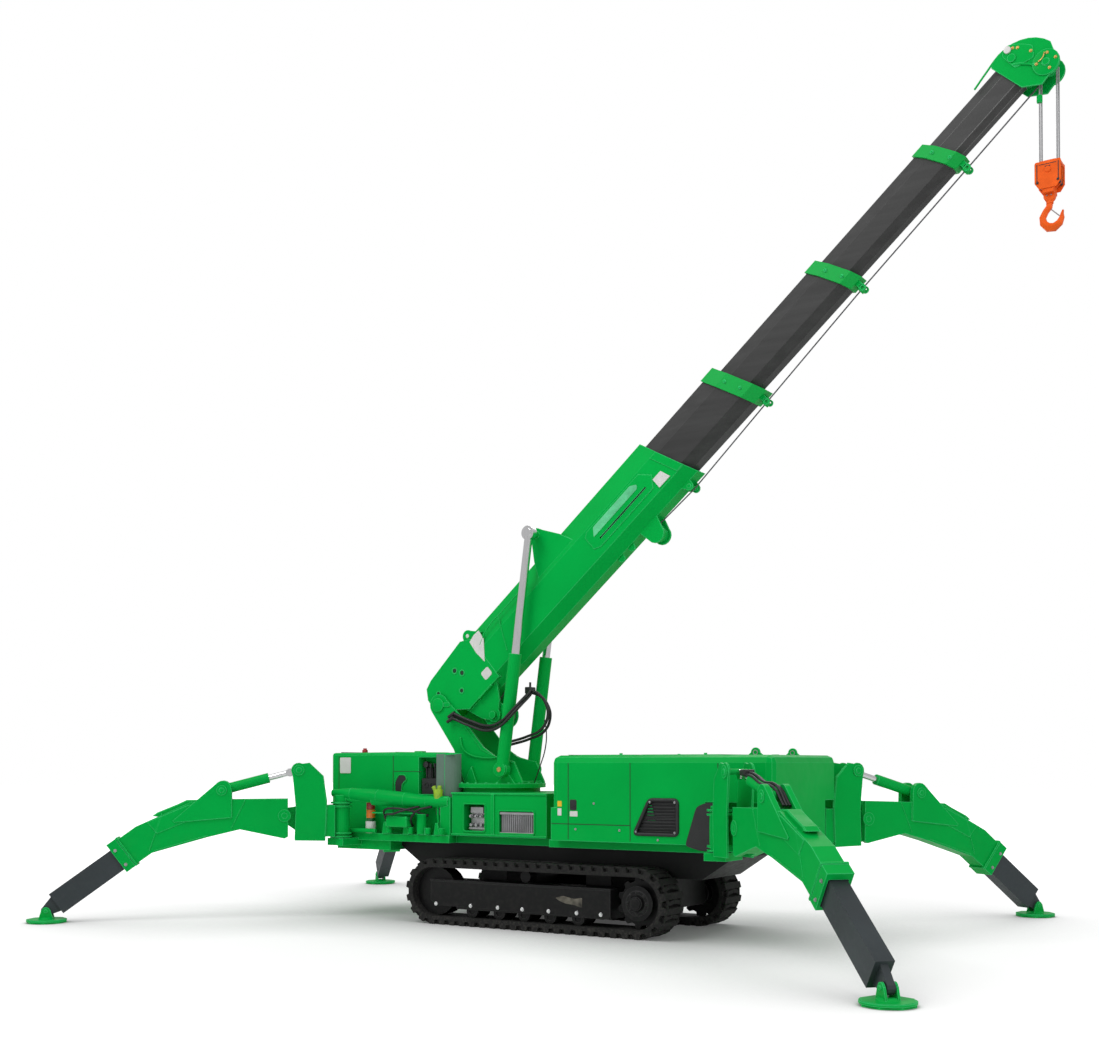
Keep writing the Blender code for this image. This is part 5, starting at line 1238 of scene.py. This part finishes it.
def make_world(stage):
    """Soft even light, seen by the camera as plain white."""
    world = bpy.data.worlds.new("studio")
    world.use_nodes = True
    tree = world.node_tree
    light = tree.nodes["Background"]
    light.inputs["Color"].default_value = WHITE
    light.inputs["Strength"].default_value = stage.sky
    seen = node(tree, "ShaderNodeBackground", WHITE, 1.0)
    rays = node(tree, "ShaderNodeLightPath")
    either = node(tree, "ShaderNodeMath", rays.outputs["Is Camera Ray"], rays.outputs["Is Transmission Ray"],
                  operation="MAXIMUM")
    mix = node(tree, "ShaderNodeMixShader", either.outputs["Value"], light.outputs["Background"],
               seen.outputs["Background"])
    put(tree, tree.nodes["World Output"].inputs["Surface"], mix.outputs["Shader"])
    bpy.context.scene.world = world


# Settings and operators

class CranePaint(bpy.types.PropertyGroup):
    """Colours of the crane's paints."""
    green: bpy.props.FloatVectorProperty(
        name="Green", description="Body paint", subtype="COLOR", size=4, default=(0.0, 0.42, 0.062, 1.0))
    black: bpy.props.FloatVectorProperty(
        name="Black", description="Chassis paint", subtype="COLOR", size=4,
        default=(0.004, 0.004, 0.0045, 1.0))
    rubber: bpy.props.FloatVectorProperty(
        name="Rubber", description="Track rubber", subtype="COLOR", size=4,
        default=(0.011, 0.011, 0.011, 1.0))
    boom: bpy.props.FloatVectorProperty(
        name="Boom", description="Boom sections", subtype="COLOR", size=4,
        default=(0.048, 0.048, 0.048, 1.0))
    leg: bpy.props.FloatVectorProperty(
        name="Leg", description="Inner legs", subtype="COLOR", size=4, default=(0.036, 0.046, 0.051, 1.0))
    orange: bpy.props.FloatVectorProperty(
        name="Orange", description="Hook and its block", subtype="COLOR", size=4,
        default=(0.9, 0.125, 0.014, 1.0))


class CraneSizes(bpy.types.PropertyGroup):
    """Sizes of the small pieces."""
    seam: bpy.props.FloatProperty(
        name="Seam", description="Width of a panel seam", unit="LENGTH", default=0.006, min=0.002, max=0.02)
    rope: bpy.props.FloatProperty(
        name="Rope", description="Diameter of the hoist rope", unit="LENGTH", default=0.011, min=0.006,
        max=0.02)
    hose: bpy.props.FloatProperty(
        name="Hose", description="Diameter of a pressure hose", unit="LENGTH", default=0.023, min=0.01,
        max=0.05)


class CraneStage(bpy.types.PropertyGroup):
    """Camera, floor and lamps."""
    camera_place: bpy.props.FloatVectorProperty(
        name="Camera place", description="Where the camera stands", subtype="TRANSLATION", unit="LENGTH",
        size=3,
        default=(5.826, -9.413, 1.285))
    camera_heading: bpy.props.FloatProperty(
        name="Heading", description="Camera's turn about the vertical", unit="ROTATION",
        default=radians(32.703))
    camera_pitch: bpy.props.FloatProperty(
        name="Pitch", description="Camera's tilt above the level", unit="ROTATION", default=radians(1.0))
    camera_lens: bpy.props.FloatProperty(
        name="Lens", description="Focal length", unit="CAMERA", default=45.05, min=10, max=200)
    camera_shift: bpy.props.FloatProperty(
        name="Shift", description="Vertical lens shift", default=0.195)
    floor_glow: bpy.props.FloatProperty(
        name="Floor glow", description="Share of plain white in the floor", default=0.42, min=0, max=1)
    floor_white: bpy.props.FloatProperty(
        name="Floor white", description="Brightness of the plain white in the floor", default=1.36, min=0)
    sky: bpy.props.FloatProperty(name="Sky", description="Strength of the even light", default=0.54, min=0)
    key: bpy.props.FloatProperty(name="Key", description="Power of the main lamp", unit="POWER",
                                 default=520.0)
    fill: bpy.props.FloatProperty(name="Fill", description="Power of the fill lamp", unit="POWER",
                                  default=200.0)
    back: bpy.props.FloatProperty(name="Back", description="Power of the rear lamp", unit="POWER",
                                  default=260.0)


class CRANE_OT_stage(bpy.types.Operator):
    """Set up the floor, the lamps and the camera"""
    bl_idname = "crane.stage"
    bl_label = "Stage"

    def execute(self, context):
        make_stage(context.scene.crane_stage)
        return {"FINISHED"}


class CRANE_OT_finishes(bpy.types.Operator):
    """Make the finishes and give them to the crane's solids"""
    bl_idname = "crane.finishes"
    bl_label = "Finishes"

    def execute(self, context):
        make_finishes(context.scene.crane_paint)
        paint_nodes()
        return {"FINISHED"}


class CRANE_OT_hood(bpy.types.Operator):
    """Add the hood's seams, lids, lifting eyes, latches, plates and grille frame"""
    bl_idname = "crane.hood"
    bl_label = "Engine hood"

    def execute(self, context):
        dress_hood(context.scene.crane_sizes)
        dress_grille()
        return {"FINISHED"}


class CRANE_OT_cover(bpy.types.Operator):
    """Add the control cover's panels, knob, lever, lamp tower and the service pieces below"""
    bl_idname = "crane.cover"
    bl_label = "Control side"

    def execute(self, context):
        dress_lamp()
        dress_cover()
        dress_service()
        return {"FINISHED"}


class CRANE_OT_tracks(bpy.types.Operator):
    """Add the tread blocks, frame plates, roller rims and bolts of both tracks"""
    bl_idname = "crane.tracks"
    bl_label = "Tracks"

    def execute(self, context):
        dress_tracks()
        return {"FINISHED"}


class CRANE_OT_turret(bpy.types.Operator):
    """Add the turret's bolts, bosses, welds and hoses"""
    bl_idname = "crane.turret"
    bl_label = "Turret"

    def execute(self, context):
        dress_turret()
        dress_boom_hoses(context.scene.crane_sizes)
        return {"FINISHED"}


class CRANE_OT_boom(bpy.types.Operator):
    """Add the boom's lugs, plates, collar bolts, head bolts and hoist rope"""
    bl_idname = "crane.boom"
    bl_label = "Boom"

    def execute(self, context):
        dress_boom_base()
        dress_sections()
        dress_ropes(context.scene.crane_sizes)
        dress_head()
        return {"FINISHED"}


class CRANE_OT_hook(bpy.types.Operator):
    """Add the rope falls and the hook block's cheeks, pins and latch"""
    bl_idname = "crane.hook"
    bl_label = "Hook"

    def execute(self, context):
        dress_falls(context.scene.crane_sizes)
        dress_hook()
        return {"FINISHED"}


class CRANE_OT_outriggers(bpy.types.Operator):
    """Add the bosses, welds, covers and bolts of the four outriggers"""
    bl_idname = "crane.outriggers"
    bl_label = "Outriggers"

    def execute(self, context):
        for name in LEG_NAMES:
            dress_leg(name)
        return {"FINISHED"}


class CRANE_PT_panel(bpy.types.Panel):
    """Shows the crane's settings and its steps"""
    bl_idname = "CRANE_PT_panel"
    bl_label = "Spider Crane"
    bl_space_type = "VIEW_3D"
    bl_region_type = "UI"
    bl_category = "Crane"

    def draw(self, context):
        for settings in (context.scene.crane_paint, context.scene.crane_sizes, context.scene.crane_stage):
            for key in settings.__annotations__:
                self.layout.prop(settings, key)
        for step in STEPS:
            self.layout.operator(step.bl_idname)


STEPS = (CRANE_OT_stage, CRANE_OT_finishes, CRANE_OT_hood, CRANE_OT_cover, CRANE_OT_tracks, CRANE_OT_turret,
         CRANE_OT_boom,
         CRANE_OT_hook, CRANE_OT_outriggers)
SETTINGS = (("crane_paint", CranePaint), ("crane_sizes", CraneSizes), ("crane_stage", CraneStage))


def register():
    for name, kind in SETTINGS:
        bpy.utils.register_class(kind)
        setattr(bpy.types.Scene, name, bpy.props.PointerProperty(type=kind))
    for kind in (*STEPS, CRANE_PT_panel):
        bpy.utils.register_class(kind)


def unregister():
    for kind in (CRANE_PT_panel, *reversed(STEPS)):
        bpy.utils.unregister_class(kind)
    for name, kind in SETTINGS:
        delattr(bpy.types.Scene, name)
        bpy.utils.unregister_class(kind)


def main():
    register()
    bpy.ops.crane.stage()
    bpy.ops.crane.finishes()
    bpy.ops.crane.hood()
    bpy.ops.crane.cover()
    bpy.ops.crane.tracks()
    bpy.ops.crane.turret()
    bpy.ops.crane.boom()
    bpy.ops.crane.hook()
    bpy.ops.crane.outriggers()
    start()


if __name__ == "__main__":
    main()
